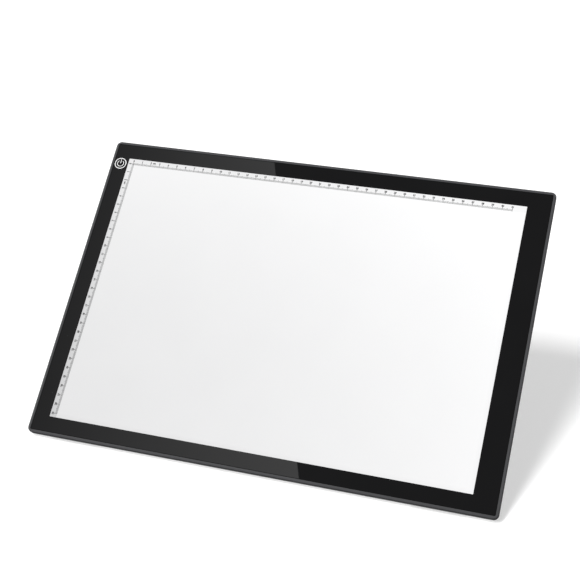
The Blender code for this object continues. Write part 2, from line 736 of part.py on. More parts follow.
def make_rear_feet():
    """Rubber feet: two bars near the lower edge, cut to meet the floor flat, and two discs."""
    rubber = new_material("foot_rubber", (0.025, 0.025, 0.025), 0.85)
    rear = -GAP - FOOT_HEIGHT
    toe = (-rear * math.cos(TILT) - CASE_CLEARANCE) / math.sin(TILT)
    section = [
        (FOOT_BAR_LOW, -GAP),
        (FOOT_BAR_LOW, floor_depth(FOOT_BAR_LOW)),
        (toe, rear),
        (FOOT_BAR_HIGH, rear),
        (FOOT_BAR_HIGH, -GAP),
    ]
    for name, side in (("left", -1), ("right", 1)):
        low_x = side * FOOT_BAR_X - FOOT_BAR_LENGTH / 2
        add_profile("foot_lower_" + name, section, low_x, low_x + FOOT_BAR_LENGTH, rubber)
        disc_x = side * FOOT_DISC_X
        foot = add_cylinder("foot_upper_" + name, FOOT_DISC_RADIUS, (disc_x, FOOT_DISC_Y, rear),
                            (disc_x, FOOT_DISC_Y, -GAP), rubber)
        soften(foot, 0.5 * MM)


def make_hinge_brackets():
    """Two ears and a stop wall around the top of each leg."""
    nylon = new_material("bracket_plastic", (0.04, 0.04, 0.042), 0.55)
    wall_y = LEG_THICKNESS / 2 + GAP
    back_y = wall_y + BRACKET_BACK
    for name, side in (("left", -1), ("right", 1)):
        centre = side * LEG_SPREAD / 2
        outline = [(-EAR_RADIUS, -GAP)]
        outline += arc((0.0, -HINGE_DEPTH), EAR_RADIUS, 180, 270, 8)
        outline += [
            (back_y - 2 * MM, -HINGE_DEPTH - EAR_RADIUS),
            (back_y, -HINGE_DEPTH),
            (back_y, -GAP),
        ]
        shifted = [(HINGE_HEIGHT + along, depth) for along, depth in outline]
        bracket = add_profile("hinge_bracket_" + name, shifted, centre - BRACKET_WIDTH / 2,
                              centre + BRACKET_WIDTH / 2, nylon)
        half = LEG_WIDTH / 2 + SIDE_CLEARANCE
        cut(bracket, add_box("cut_bracket_slot_" + name,
                             (centre - half, HINGE_HEIGHT - 10 * MM, -20 * MM),
                             (centre + half, HINGE_HEIGHT + wall_y, 5 * MM), None))
        reach = BRACKET_WIDTH
        bore = SHAFT_RADIUS + RUNNING_GAP
        cut(bracket, add_cylinder("cut_bracket_bore_" + name, bore,
                                  (centre - reach, HINGE_HEIGHT, -HINGE_DEPTH),
                                  (centre + reach, HINGE_HEIGHT, -HINGE_DEPTH), None))
        spots = [spot for spot in bracket_screw_spots() if spot[0] * side > 0]
        cut(bracket, screw_hole_cutter("cut_bracket_screws_" + name, spots, SCREW_HOLE_RADIUS,
                                       COVER_TOP - BRACKET_SCREW_LENGTH - GAP, 0.0))


def make_stand():
    """Fold-out stand, in axes whose origin is on the hinge and whose -Z runs down the legs."""
    plastic = new_material("stand_plastic", (0.05, 0.05, 0.052), 0.5)
    steel = new_material("shaft_steel", (0.7, 0.7, 0.72), 0.25, 1.0)
    rubber = new_material("sole_rubber", (0.025, 0.025, 0.025), 0.85)
    zinc = new_material("leg_screw_zinc", (0.12, 0.12, 0.13), 0.35, 1.0)
    half = LEG_THICKNESS / 2
    front_floor = floor_depth(-half, HINGE_LIFT)
    back_floor = floor_depth(half, HINGE_LIFT)
    rise = SOLE_THICKNESS + GAP

    leg_outline = arc((0.0, 0.0), half, 0, 180, 12)
    leg_outline += [(-half, front_floor + rise), (half, back_floor + rise)]
    bar_top = floor_depth(0.0, HINGE_LIFT) + rise + CROSSBAR_DEPTH
    bar_outline = [(half, bar_top), (-half, bar_top), (-half, front_floor + rise),
                   (half, back_floor + rise)]
    inner = (LEG_SPREAD - LEG_WIDTH) / 2
    outer = (LEG_SPREAD + LEG_WIDTH) / 2
    bar_end = inner - GAP
    crossbar = add_profile("stand_crossbar", bar_outline, -bar_end, bar_end, plastic, STAND_AXES)

    screw_length = LEG_WIDTH + 6 * MM
    depths = (bar_top - 4 * MM, bar_top - 11 * MM)
    bore = SHAFT_RADIUS + RUNNING_GAP
    number = 0
    for name, side in (("left", -1), ("right", 1)):
        low_x = min(side * inner, side * outer)
        leg = add_profile("stand_leg_" + name, leg_outline, low_x, low_x + LEG_WIDTH, plastic,
                          STAND_AXES)
        cut(leg, add_cylinder("cut_leg_bore_" + name, bore, (low_x - 5 * MM, 0.0, 0.0),
                              (low_x + LEG_WIDTH + 5 * MM, 0.0, 0.0), None, STAND_AXES))
        for depth in depths:
            number += 1
            mark = f"{name}_{number}"
            tip = side * (outer - screw_length - GAP)
            hole = add_cylinder("cut_leg_hole_" + mark, SCREW_HOLE_RADIUS, (tip, 0.0, depth),
                                (side * (outer + 5 * MM), 0.0, depth), None, STAND_AXES)
            seat = add_cylinder("cut_leg_seat_" + mark, HEAD_HOLE_RADIUS,
                                (side * (outer - HEAD_HEIGHT - GAP), 0.0, depth),
                                (side * (outer + 5 * MM), 0.0, depth), None, STAND_AXES)
            cut(leg, hole)
            cut(leg, seat)
            cut(crossbar, hole)
            screw = f"leg_screw_{number}"
            add_piece(screw, screw_mesh(screw, screw_length), (side * outer, 0.0, depth),
                      STAND_AXES, zinc, (0.0, -side * math.pi / 2, 0.0))
        clip_low = side * (LEG_SPREAD / 2 + BRACKET_WIDTH / 2 + GAP)
        clip = add_cylinder("shaft_clip_" + name, 3 * MM, (clip_low, 0.0, 0.0),
                            (clip_low + side * 0.8 * MM, 0.0, 0.0), steel, STAND_AXES)
        cut(clip, add_cylinder("cut_clip_" + name, bore, (clip_low - 5 * MM, 0.0, 0.0),
                               (clip_low + 5 * MM, 0.0, 0.0), None, STAND_AXES))

    shaft_half = (LEG_SPREAD + BRACKET_WIDTH) / 2 + 2 * MM
    shaft = add_cylinder("stand_shaft", SHAFT_RADIUS, (-shaft_half, 0.0, 0.0),
                         (shaft_half, 0.0, 0.0), steel, STAND_AXES)
    soften(shaft, 0.3 * MM)

    sole_outline = [
        (-half, front_floor + SOLE_THICKNESS),
        (-half, front_floor),
        (half, back_floor),
        (half, back_floor + SOLE_THICKNESS),
    ]
    add_profile("stand_sole", sole_outline, -outer - 1 * MM, outer + 1 * MM, rubber, STAND_AXES)


def centre_over_origin():
    """Slide the pad along Y so that its box stands centred over the origin."""
    bpy.context.view_layer.update()
    graph = bpy.context.evaluated_depsgraph_get()
    reach = []
    for piece in PARTS.objects:
        if piece.type != "MESH":
            continue
        solid = piece.evaluated_get(graph)
        reach += [(solid.matrix_world @ vertex.co).y for vertex in solid.data.vertices]
    PANEL_AXES.location.y -= (min(reach) + max(reach)) / 2


make_side_frame()
make_rear_cover()
make_front_panel()
make_light_stack()
make_led_edges()
make_tapes()
make_touch_key()
make_driver()
make_ribbon()
make_leads()
make_power_socket()
make_screws()
make_rear_feet()
make_hinge_brackets()
make_stand()
centre_over_origin()
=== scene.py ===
"""Looks of the light box: an edge-lit tracing pad that leans back on a fold-out rear stand.

Pieces are modelled in the pad's own axes, which are the CAD's: X to the right, Y up the pad from its
lower edge, Z out of the lit face, with Z = 0 on the rear face. PANEL takes these axes to the row
frame, and every place comes from the box of a CAD node in them. Lengths are in metres.
"""

import json
import math

import bmesh
import bpy
from mathutils import Matrix, Vector

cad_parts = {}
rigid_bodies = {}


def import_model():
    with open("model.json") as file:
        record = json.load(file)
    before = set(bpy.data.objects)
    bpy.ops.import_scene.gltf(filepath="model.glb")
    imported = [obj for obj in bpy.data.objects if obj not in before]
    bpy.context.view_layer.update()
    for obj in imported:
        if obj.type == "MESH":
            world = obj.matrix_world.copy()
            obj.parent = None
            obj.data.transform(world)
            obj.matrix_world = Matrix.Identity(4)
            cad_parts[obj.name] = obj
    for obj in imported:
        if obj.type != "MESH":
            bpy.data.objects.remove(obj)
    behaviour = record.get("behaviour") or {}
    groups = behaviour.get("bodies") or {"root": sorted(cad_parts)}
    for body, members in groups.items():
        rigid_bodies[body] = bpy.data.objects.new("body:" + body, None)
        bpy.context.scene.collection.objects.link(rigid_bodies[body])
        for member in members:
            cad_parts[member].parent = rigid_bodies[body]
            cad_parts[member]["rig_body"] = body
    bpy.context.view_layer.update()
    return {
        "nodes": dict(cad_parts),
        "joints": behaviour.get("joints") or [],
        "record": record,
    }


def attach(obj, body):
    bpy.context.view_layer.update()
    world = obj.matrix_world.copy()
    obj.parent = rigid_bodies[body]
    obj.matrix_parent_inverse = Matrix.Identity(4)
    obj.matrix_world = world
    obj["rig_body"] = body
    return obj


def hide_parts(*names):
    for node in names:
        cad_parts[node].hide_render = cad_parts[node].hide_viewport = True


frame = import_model()

MM = 0.001
SIDES = ("left", "right")
RECORD = frame["record"]
SLOT_OF = {part["node"]: part["material_slot"] for part in RECORD["subparts"]}

# -------- axes and places

FACE_NORMAL = next(m["axis"] for m in RECORD["mounts"] if m["name"] == "work_surface")
TILT = math.atan2(-FACE_NORMAL[1], FACE_NORMAL[2])


def box_in(axes, node):
    """Lowest and highest corner of a CAD node, measured in the given axes."""
    back = axes.inverted()
    points = [back @ vertex.co for vertex in frame["nodes"][node].data.vertices]
    low = Vector([min(point[i] for point in points) for i in range(3)])
    high = Vector([max(point[i] for point in points) for i in range(3)])
    return low, high


TURN = Matrix.Rotation(TILT, 4, "X")
CASE_CORNER = box_in(TURN, "side_frame")[0]
PANEL = TURN @ Matrix.Translation((0.0, CASE_CORNER.y, CASE_CORNER.z))
PANEL_LIFT = PANEL.translation.z


def box(node):
    """Lowest and highest corner of a CAD node in the pad's axes."""
    return box_in(PANEL, node)


def middle(node):
    """Centre of a CAD node in the pad's axes."""
    low, high = box(node)
    return (low + high) / 2


CASE_LOW, CASE_HIGH = box("side_frame")
SHEET_LOW, SHEET_HIGH = box("front_panel")
GUIDE_LOW, GUIDE_HIGH = box("light_guide_plate")
COVER_LOW, COVER_HIGH = box("rear_cover")
HINGE = PANEL.inverted() @ Vector(frame["joints"][0]["pos_m"])

GUIDE_OVERLAP = 3 * MM              # light guide hidden behind the border on each side
WINDOW_LOW = GUIDE_LOW + Vector((GUIDE_OVERLAP, GUIDE_OVERLAP, 0.0))
WINDOW_HIGH = GUIDE_HIGH - Vector((GUIDE_OVERLAP, GUIDE_OVERLAP, 0.0))

CASE_CORNER_RADIUS = 5.5 * MM
WALL = 3.0 * MM
LEDGE = 4.2 * MM
GAP = 0.3 * MM
INNER_CORNER_RADIUS = 1.3 * MM      # of the pocket in the case
SHEET_CORNER_RADIUS = INNER_CORNER_RADIUS - GAP
JOINT_LINE = 0.02 * MM              # between the printed border and the lit window
INK = 0.02 * MM                     # thickness of printed ink
CORNER_STEPS = 10
SLIVER = 0.0001 * MM                # edges shorter than this are left over from a cut
CREASE = math.radians(30)           # edges sharper than this stay sharp in smooth shading


# -------- materials


class Look:
    """Node tree of one material, with a short call for each thing that the looks share."""

    def __init__(self, name, **values):
        self.material = bpy.data.materials.new(name)
        self.material.use_nodes = True
        self.tree = self.material.node_tree
        self.shader = self.tree.nodes["Principled BSDF"]
        for socket, value in values.items():
            self.shader.inputs[socket.replace("_", " ")].default_value = value
        pad_axes = self.node("ShaderNodeMapping", vector_type="TEXTURE")
        pad_axes.inputs["Location"].default_value = PANEL.translation
        pad_axes.inputs["Rotation"].default_value = (TILT, 0.0, 0.0)
        self.link(self.node("ShaderNodeTexCoord").outputs["Object"], pad_axes.inputs["Vector"])
        self.place = pad_axes.outputs["Vector"]

    def node(self, kind, **settings):
        """Add a node with its settings."""
        made = self.tree.nodes.new(kind)
        for key, value in settings.items():
            setattr(made, key, value)
        return made

    def link(self, source, target):
        """Join an output to an input, or set the input where the source is a number or colour."""
        if isinstance(source, bpy.types.NodeSocket):
            self.tree.links.new(source, target)
        else:
            target.default_value = source

    def sum(self, operation, first, second):
        """One arithmetic step."""
        step = self.node("ShaderNodeMath", operation=operation)
        self.link(first, step.inputs[0])
        self.link(second, step.inputs[1])
        return step.outputs["Value"]

    def axis(self, name):
        """Object coordinate along X, Y or Z, in metres."""
        split = self.node("ShaderNodeSeparateXYZ")
        self.link(self.place, split.inputs["Vector"])
        return split.outputs[name]

    def noise(self, size, detail=2.0, stretch=(1, 1, 1)):
        """Soft noise from 0 to 1, its features about size metres across and drawn out by the stretch."""
        scaled = self.node("ShaderNodeMapping")
        self.link(self.place, scaled.inputs["Vector"])
        scaled.inputs["Scale"].default_value = [1 / factor for factor in stretch]
        made = self.node("ShaderNodeTexNoise")
        self.link(scaled.outputs["Vector"], made.inputs["Vector"])
        made.inputs["Scale"].default_value = 1 / size
        made.inputs["Detail"].default_value = detail
        return made.outputs["Fac"]

    def cells(self, size):
        """Distance from the middle of cells about size metres across."""
        made = self.node("ShaderNodeTexVoronoi")
        self.link(self.place, made.inputs["Vector"])
        made.inputs["Scale"].default_value = 1 / size
        return made.outputs["Distance"]

    def ramp(self, value, low, high, start=0.3, end=0.7):
        """Number from low to high as value goes from start to end."""
        made = self.node("ShaderNodeMapRange")
        self.link(value, made.inputs["Value"])
        for socket, number in (("From Min", start), ("From Max", end), ("To Min", low), ("To Max", high)):
            made.inputs[socket].default_value = number
        return made.outputs["Result"]

    def mix(self, factor, first, second):
        """Colour between two colours."""
        made = self.node("ShaderNodeMix", data_type="RGBA")
        self.link(factor, made.inputs["Factor"])
        for name, colour in (("A", first), ("B", second)):
            socket = next(s for s in made.inputs if s.name == name and s.type == "RGBA")
            self.link(colour if isinstance(colour, bpy.types.NodeSocket) else (*colour, 1.0), socket)
        return next(s for s in made.outputs if s.type == "RGBA")

    def bump(self, height, depth, strength=1.0):
        """Raise the surface by depth metres where height is 1, on top of any earlier bump."""
        made = self.node("ShaderNodeBump")
        made.inputs["Strength"].default_value = strength
        made.inputs["Distance"].default_value = depth
        self.link(height, made.inputs["Height"])
        normal = self.shader.inputs["Normal"]
        if normal.is_linked:
            self.link(normal.links[0].from_socket, made.inputs["Normal"])
        self.link(made.outputs["Normal"], normal)

    def finish(self, colour, roughness, height, depth, strength=1.0):
        """Drive the colour, the roughness and a bump, and give the material."""
        self.link(colour, self.shader.inputs["Base Color"])
        self.link(roughness, self.shader.inputs["Roughness"])
        self.bump(height, depth, strength)
        return self.material


def shade(colour, factor):
    """The colour made lighter or darker."""
    return tuple(min(1.0, part * factor) for part in colour)


def moulded(name, colour, rough, grain, depth):
    """Moulded plastic or rubber: eroded grain, and slow changes of tone and gloss."""
    look = Look(name)
    tone = look.noise(35 * MM, 3.0)
    fine = look.noise(grain, 2.0)
    pits = look.cells(3 * grain)
    gloss = look.sum("ADD", look.sum("MULTIPLY", tone, 0.5), look.sum("MULTIPLY", fine, 0.5))
    look.bump(fine, depth)
    return look.finish(look.mix(tone, shade(colour, 0.88), shade(colour, 1.12)),
                       look.ramp(gloss, rough - 0.05, rough + 0.07), pits, 0.6 * depth)


def machined(name, colour, rough, stretch):
    """Metal with fine tool marks drawn out along one axis."""
    look = Look(name, Metallic=1.0)
    marks = look.noise(0.12 * MM, 3.0, stretch)
    stains = look.noise(4 * MM, 3.0)
    return look.finish(look.mix(stains, shade(colour, 0.85), shade(colour, 1.05)),
                       look.ramp(marks, rough - 0.06, rough + 0.1), marks, 0.004 * MM, 0.6)


def glossy_border(name):
    """Black print under clear acrylic: deep gloss with a breath of haze and faint waviness."""
    look = Look(name, IOR=1.49)
    haze = look.noise(45 * MM, 4.0)
    wipe = look.noise(6 * MM, 2.0, (8, 1, 1))
    gloss = look.ramp(look.sum("MULTIPLY", haze, wipe), 0.008, 0.02, 0.1, 0.5)
    return look.finish(look.mix(haze, (0.0012, 0.0012, 0.0014), (0.0024, 0.0024, 0.0027)),
                       gloss, look.noise(14 * MM, 1.0), 0.0001 * MM)


WINDOW_LEVEL = 0.340                # emission at the middle of the window
WINDOW_MOST = 0.480                 # emission where it is brightest
WINDOW_ACROSS = 0.078               # brighter to the right, half the change from side to side
WINDOW_UP = 0.062                   # brighter to the top, half the change from edge to edge
WINDOW_BOW = 0.025                  # brighter towards the corners
EDGE_SHADE = 0.035                  # taken off next to the border
EDGE_SHADE_WIDTH = 5 * MM
STRIP_WIDTH = 7.2 * MM              # of the duller strips that carry the printed scales
STRIP_FADE = 0.4 * MM
TOP_STRIP_SHADE = 0.055             # emission taken off along the top scale
LEFT_STRIP_SHADE = (0.150, 0.045)   # and along the left scale, at its lower and upper ends


def lit_face(name):
    """Milk-white diffusing face, lit from behind and a little uneven, as an edge-lit guide is."""
    look = Look(name, IOR=1.49, Emission_Strength=1.0)
    across = look.axis("X")
    up = look.axis("Y")
    spread_x = look.ramp(across, -WINDOW_ACROSS, WINDOW_ACROSS, WINDOW_LOW.x, WINDOW_HIGH.x)
    spread_y = look.ramp(up, -WINDOW_UP, WINDOW_UP, WINDOW_LOW.y, WINDOW_HIGH.y)
    share_x = look.ramp(across, -1.0, 1.0, WINDOW_LOW.x, WINDOW_HIGH.x)
    share_y = look.ramp(up, -1.0, 1.0, WINDOW_LOW.y, WINDOW_HIGH.y)
    radius = look.sum("ADD", look.sum("MULTIPLY", share_x, share_x), look.sum("MULTIPLY", share_y, share_y))
    bow = look.sum("MULTIPLY", radius, WINDOW_BOW)
    mottle = look.ramp(look.noise(60 * MM, 2.0), -0.006, 0.006)
    level = look.sum("ADD", look.sum("ADD", spread_x, spread_y), look.sum("ADD", mottle, WINDOW_LEVEL))
    level = look.sum("ADD", level, bow)

    from_left = look.sum("SUBTRACT", across, WINDOW_LOW.x)
    from_top = look.sum("SUBTRACT", WINDOW_HIGH.y, up)
    reach_x = look.sum("MINIMUM", from_left, look.sum("SUBTRACT", WINDOW_HIGH.x, across))
    reach_y = look.sum("MINIMUM", from_top, look.sum("SUBTRACT", up, WINDOW_LOW.y))
    edge = look.ramp(look.sum("MINIMUM", reach_x, reach_y), EDGE_SHADE, 0.0, 0.0, EDGE_SHADE_WIDTH)
    strip_end = (STRIP_WIDTH - STRIP_FADE / 2, STRIP_WIDTH + STRIP_FADE / 2)
    left_shade = look.ramp(up, *LEFT_STRIP_SHADE, WINDOW_LOW.y, WINDOW_HIGH.y)
    left_strip = look.sum("MULTIPLY", look.ramp(from_left, 1.0, 0.0, *strip_end), left_shade)
    top_strip = look.ramp(from_top, TOP_STRIP_SHADE, 0.0, *strip_end)
    shade_off = look.sum("ADD", edge, look.sum("MAXIMUM", left_strip, top_strip))
    level = look.sum("SUBTRACT", look.sum("MINIMUM", level, WINDOW_MOST), shade_off)
    look.link(level, look.shader.inputs["Emission Color"])

    satin = look.noise(0.5 * MM, 2.0)
    return look.finish(look.mix(satin, (0.27, 0.27, 0.275), (0.31, 0.31, 0.31)),
                       look.ramp(satin, 0.42, 0.52), satin, 0.003 * MM)


def printed(name, colour, rough):
    """Screen-printed ink: even, with slightly thin spots."""
    look = Look(name)
    thin = look.noise(0.4 * MM, 3.0)
    return look.finish(look.mix(look.ramp(thin, 0.0, 1.0, 0.35, 0.75), colour, shade(colour, 0.82)),
                       look.ramp(thin, rough - 0.05, rough + 0.1), thin, 0.002 * MM)


LED_START = 4 * MM                  # first LED, from the end of its strip
LED_PITCH = 12 * MM
LED_LENGTH = 3 * MM
PHOSPHOR_LENGTH = 2.2 * MM


def led_strip(name):
    """White solder mask with a pale yellow phosphor on each LED."""
    look = Look(name)
    first = box("led_strip_top")[0].x + LED_START
    step = look.sum("MODULO", look.sum("SUBTRACT", look.axis("X"), first), LED_PITCH)
    off_centre = look.sum("ABSOLUTE", look.sum("SUBTRACT", step, LED_LENGTH / 2), 0.0)
    lit = look.sum("LESS_THAN", off_centre, PHOSPHOR_LENGTH / 2)
    mask = look.mix(look.noise(2 * MM), (0.78, 0.78, 0.76), (0.88, 0.88, 0.86))
    return look.finish(look.mix(lit, mask, (0.86, 0.74, 0.22)),
                       look.ramp(look.noise(0.5 * MM), 0.3, 0.5), look.noise(0.3 * MM), 0.01 * MM)


def circuit_board(name):
    """Green solder mask over traces, with tinned pads."""
    look = Look(name)
    traces = look.node("ShaderNodeTexBrick", offset=0.4, squash=0.7)
    look.link(look.place, traces.inputs["Vector"])
    traces.inputs["Scale"].default_value = 140.0
    traces.inputs["Mortar Size"].default_value = 0.06
    trace = traces.outputs["Fac"]
    pads = look.ramp(look.cells(5 * MM), 1.0, 0.0, 0.12, 0.16)
    mask = look.mix(trace, (0.012, 0.10, 0.035), (0.03, 0.19, 0.07))
    return look.finish(look.mix(pads, mask, (0.62, 0.62, 0.6)),
                       look.ramp(look.noise(1 * MM), 0.25, 0.45), trace, 0.03 * MM)


def ribbon(name):
    """Flat film cable with its conductors showing as fine lines along it."""
    look = Look(name)
    wave = look.node("ShaderNodeTexWave", bands_direction="Y", wave_profile="SAW")
    look.link(look.place, wave.inputs["Vector"])
    wave.inputs["Scale"].default_value = 320.0
    lines = look.ramp(wave.outputs["Fac"], 0.0, 1.0, 0.55, 0.7)
    return look.finish(look.mix(lines, (0.82, 0.82, 0.79), (0.55, 0.52, 0.48)),
                       look.ramp(look.noise(3 * MM), 0.3, 0.45), lines, 0.04 * MM)


def film(name, colour, rough):
    """Optical film or sheet: even, with a faint pearl."""
    look = Look(name)
    pearl = look.noise(1.5 * MM, 3.0)
    return look.finish(look.mix(pearl, shade(colour, 0.95), colour),
                       look.ramp(pearl, rough - 0.05, rough + 0.05), pearl, 0.004 * MM)


def guide_plate(name):
    """Clear acrylic with the rows of laser dots that turn the light out of it."""
    look = Look(name, IOR=1.49, Transmission_Weight=0.9)
    dots = look.ramp(look.cells(1.6 * MM), 1.0, 0.0, 0.18, 0.26)
    return look.finish(look.mix(dots, (0.86, 0.91, 0.90), (0.95, 0.95, 0.95)),
                       look.ramp(dots, 0.04, 0.6, 0.0, 1.0), dots, 0.02 * MM)


def sunk_contacts(name):
    """Black tongue of the socket with a row of gilded contacts."""
    look = Look(name)
    pitch = 0.9 * MM
    step = look.sum("MODULO", look.sum("ADD", look.axis("X"), 1.0), pitch)
    gilt = look.sum("LESS_THAN", step, pitch / 2)
    look.link(gilt, look.shader.inputs["Metallic"])
    return look.finish(look.mix(gilt, (0.012, 0.012, 0.012), (0.75, 0.52, 0.2)),
                       look.ramp(look.noise(0.3 * MM), 0.3, 0.45), gilt, 0.02 * MM)


LOOK_OF_SLOT = {                    # colour, roughness, then grain size and depth or tool-mark stretch
    "frame_plastic": (moulded, (0.038, 0.038, 0.040), 0.40, 0.16 * MM, 0.003 * MM),
    "cover_plastic": (moulded, (0.040, 0.040, 0.042), 0.55, 0.45 * MM, 0.03 * MM),
    "front_acrylic": (glossy_border,),
    "lit_window": (lit_face,),
    "guide_acrylic": (guide_plate,),
    "reflector_film": (film, (0.93, 0.93, 0.93), 0.3),
    "led_strip": (led_strip,),
    "spreader_aluminium": (machined, (0.74, 0.75, 0.77), 0.34, (40, 1, 1)),
    "adhesive_tape": (moulded, (0.02, 0.02, 0.02), 0.8, 0.5 * MM, 0.05 * MM),
    "sensor_copper": (machined, (0.74, 0.42, 0.24), 0.35, (1, 12, 1)),
    "spring_steel": (machined, (0.7, 0.7, 0.7), 0.22, (1, 1, 1)),
    "circuit_board": (circuit_board,),
    "chip_black": (moulded, (0.018, 0.018, 0.018), 0.5, 0.1 * MM, 0.01 * MM),
    "coil_ferrite": (moulded, (0.07, 0.07, 0.072), 0.65, 0.3 * MM, 0.04 * MM),
    "capacitor_ceramic": (moulded, (0.5, 0.36, 0.22), 0.45, 0.2 * MM, 0.01 * MM),
    "ribbon_film": (ribbon,),
    "connector_nylon": (moulded, (0.76, 0.72, 0.62), 0.5, 0.3 * MM, 0.01 * MM),
    "lead_insulation": (moulded, (0.42, 0.02, 0.02), 0.45, 0.4 * MM, 0.01 * MM),
    "socket_steel": (machined, (0.7, 0.7, 0.71), 0.24, (1, 14, 1)),
    "tongue_plastic": (sunk_contacts,),
    "screw_steel": (machined, (0.1, 0.1, 0.11), 0.34, (1, 1, 1)),
    "foot_rubber": (moulded, (0.028, 0.028, 0.028), 0.78, 0.5 * MM, 0.05 * MM),
    "bracket_plastic": (moulded, (0.044, 0.044, 0.046), 0.5, 0.2 * MM, 0.012 * MM),
    "stand_plastic": (moulded, (0.052, 0.052, 0.054), 0.46, 0.2 * MM, 0.01 * MM),
    "shaft_steel": (machined, (0.68, 0.68, 0.7), 0.22, (1, 10, 10)),
}
LOOKS = {slot: kind(slot, *values) for slot, (kind, *values) in LOOK_OF_SLOT.items()}
SCALE_INK = printed("scale_ink", (0.02, 0.02, 0.02), 0.5)
KEY_INK = printed("key_ink", (0.66, 0.66, 0.66), 0.4)


# -------- shapes


def arc(centre, radius, start, end, steps):
    """Points on a circular arc in a plane, both ends included, with angles in degrees."""
    points = []
    for step in range(steps + 1):
        angle = math.radians(start + (end - start) * step / steps)
        points.append((centre[0] + radius * math.cos(angle), centre[1] + radius * math.sin(angle)))
    return points


def rounded_rectangle(low, high, radius, height):
    """Points round a rectangle with round corners, anticlockwise, all at one height."""
    points = []
    for centre, start in (
        ((high[0] - radius, high[1] - radius), 0),
        ((low[0] + radius, high[1] - radius), 90),
        ((low[0] + radius, low[1] + radius), 180),
        ((high[0] - radius, low[1] + radius), 270),
    ):
        points += [Vector((*point, height)) for point in arc(centre, radius, start, start + 90, CORNER_STEPS)]
    return points


def inset_rectangle(low, high, radius, inset, height):
    """The round-cornered rectangle moved inward by inset."""
    least = 0.15 * MM
    return rounded_rectangle((low[0] + inset, low[1] + inset), (high[0] - inset, high[1] - inset),
                             max(radius - inset, least), height)


def moved(shape, place):
    """The shape, moved to its place."""
    bmesh.ops.transform(shape, matrix=place, verts=shape.verts)
    return shape


def loft(rings, endless=False, shape=None):
    """Skin a stack of equal rings of points: into a closed tube of any section, or capped at both ends."""
    shape = shape or bmesh.new()
    rows = [[shape.verts.new(point) for point in ring] for ring in rings]
    pairs = list(zip(rows, rows[1:]))
    if endless:
        pairs.append((rows[-1], rows[0]))
    for first, second in pairs:
        for i, vertex in enumerate(first):
            j = (i + 1) % len(first)
            shape.faces.new((vertex, first[j], second[j], second[i]))
    if not endless:
        shape.faces.new(list(reversed(rows[0])))
        shape.faces.new(rows[-1])
    bmesh.ops.recalc_face_normals(shape, faces=shape.faces)
    return shape


def slab(low, high, radius, edge=0.0):
    """Flat plate between two corners, with round corners and rounded upper and lower edges."""
    section = [(0.0, low[2])]
    if edge:
        section = [(edge - across, low[2] + edge - along) for across, along in arc((0, 0), edge, 90, 0, 4)]
    section += [(inset, low[2] + high[2] - height) for inset, height in reversed(section)]
    return loft([inset_rectangle(low, high, radius, inset, height) for inset, height in section])


def block(low, high):
    """Plain box, for cutting."""
    shape = bmesh.new()
    low, high = Vector(low), Vector(high)
    size = Matrix.Diagonal((*(high - low), 1.0))
    bmesh.ops.create_cube(shape, size=1.0, matrix=Matrix.Translation((low + high) / 2) @ size)
    return shape


def drum(radius, start, end, steps=40):
    """Plain cylinder between two points, for cutting."""
    start = Vector(start)
    run = Vector(end) - start
    turn = run.to_track_quat("Z", "Y").to_matrix().to_4x4()
    shape = bmesh.new()
    bmesh.ops.create_cone(shape, cap_ends=True, segments=steps, radius1=radius, radius2=radius,
                          depth=run.length, matrix=Matrix.Translation(start + run / 2) @ turn)
    return shape


def turned(profile, place, steps=48):
    """Solid of revolution about local Z from (radius, height) points, then moved to its place."""
    rings = [[Vector((*point, height)) for point in arc((0, 0), radius, 0, 360, steps)[:-1]]
             for radius, height in profile]
    return moved(loft(rings), place)


def prism(outline, low_x, high_x):
    """Outline given as (Y, Z) points, extruded along X."""
    return loft([[Vector((across, *point)) for point in outline] for across in (low_x, high_x)])


def band(shape, centre, inner, outer, start, end, low, high, steps):
    """Add a flat ring, or a part of one, in the XY plane to a shape."""
    full = end - start >= 360
    inside = arc(centre, inner, start, end, steps)
    outside = arc(centre, outer, start, end, steps)
    rings = [[(*near, low), (*far, low), (*far, high), (*near, high)] for near, far in zip(inside, outside)]
    loft(rings[:-1] if full else rings, full, shape)


# -------- pieces


def linked(name, data):
    """A new object in the scene."""
    made = bpy.data.objects.new(name, data)
    bpy.context.scene.collection.objects.link(made)
    return made


def as_object(name, shape, axes=PANEL):
    """Put a shape, given in the pad's axes or others, in the scene as an object of the row frame."""
    mesh = bpy.data.meshes.new(name)
    moved(shape, axes).to_mesh(mesh)
    shape.free()
    return linked(name, mesh)


def add_bevel(made, width):
    """Round the sharp edges."""
    bevel = made.modifiers.new("round", "BEVEL")
    bevel.width = width
    bevel.segments = 3
    bevel.limit_method = "ANGLE"
    bevel.angle_limit = math.radians(35)


def carve(made, cutters):
    """Cut shapes out of the object, with modifiers, and return the tools they need."""
    tools = []
    for number, shape in enumerate(cutters):
        tool = as_object(f"{made.name}_tool_{number}", shape)
        cutting = made.modifiers.new(f"cut_{number}", "BOOLEAN")
        cutting.operation = "DIFFERENCE"
        cutting.solver = "EXACT"
        cutting.object = tool
        tools.append(tool)
    return tools


def settle(made, tools):
    """Apply the modifiers, remove the tools, and clear the slivers that a cut leaves."""
    bpy.context.view_layer.update()
    graph = bpy.context.evaluated_depsgraph_get()
    mesh = bpy.data.meshes.new_from_object(made.evaluated_get(graph))
    shape = bmesh.new()
    shape.from_mesh(mesh)
    bmesh.ops.dissolve_degenerate(shape, dist=SLIVER, edges=shape.edges)
    shape.to_mesh(mesh)
    shape.free()
    made.modifiers.clear()
    made.data = mesh
    for tool in tools:
        bpy.data.objects.remove(tool, do_unlink=True)


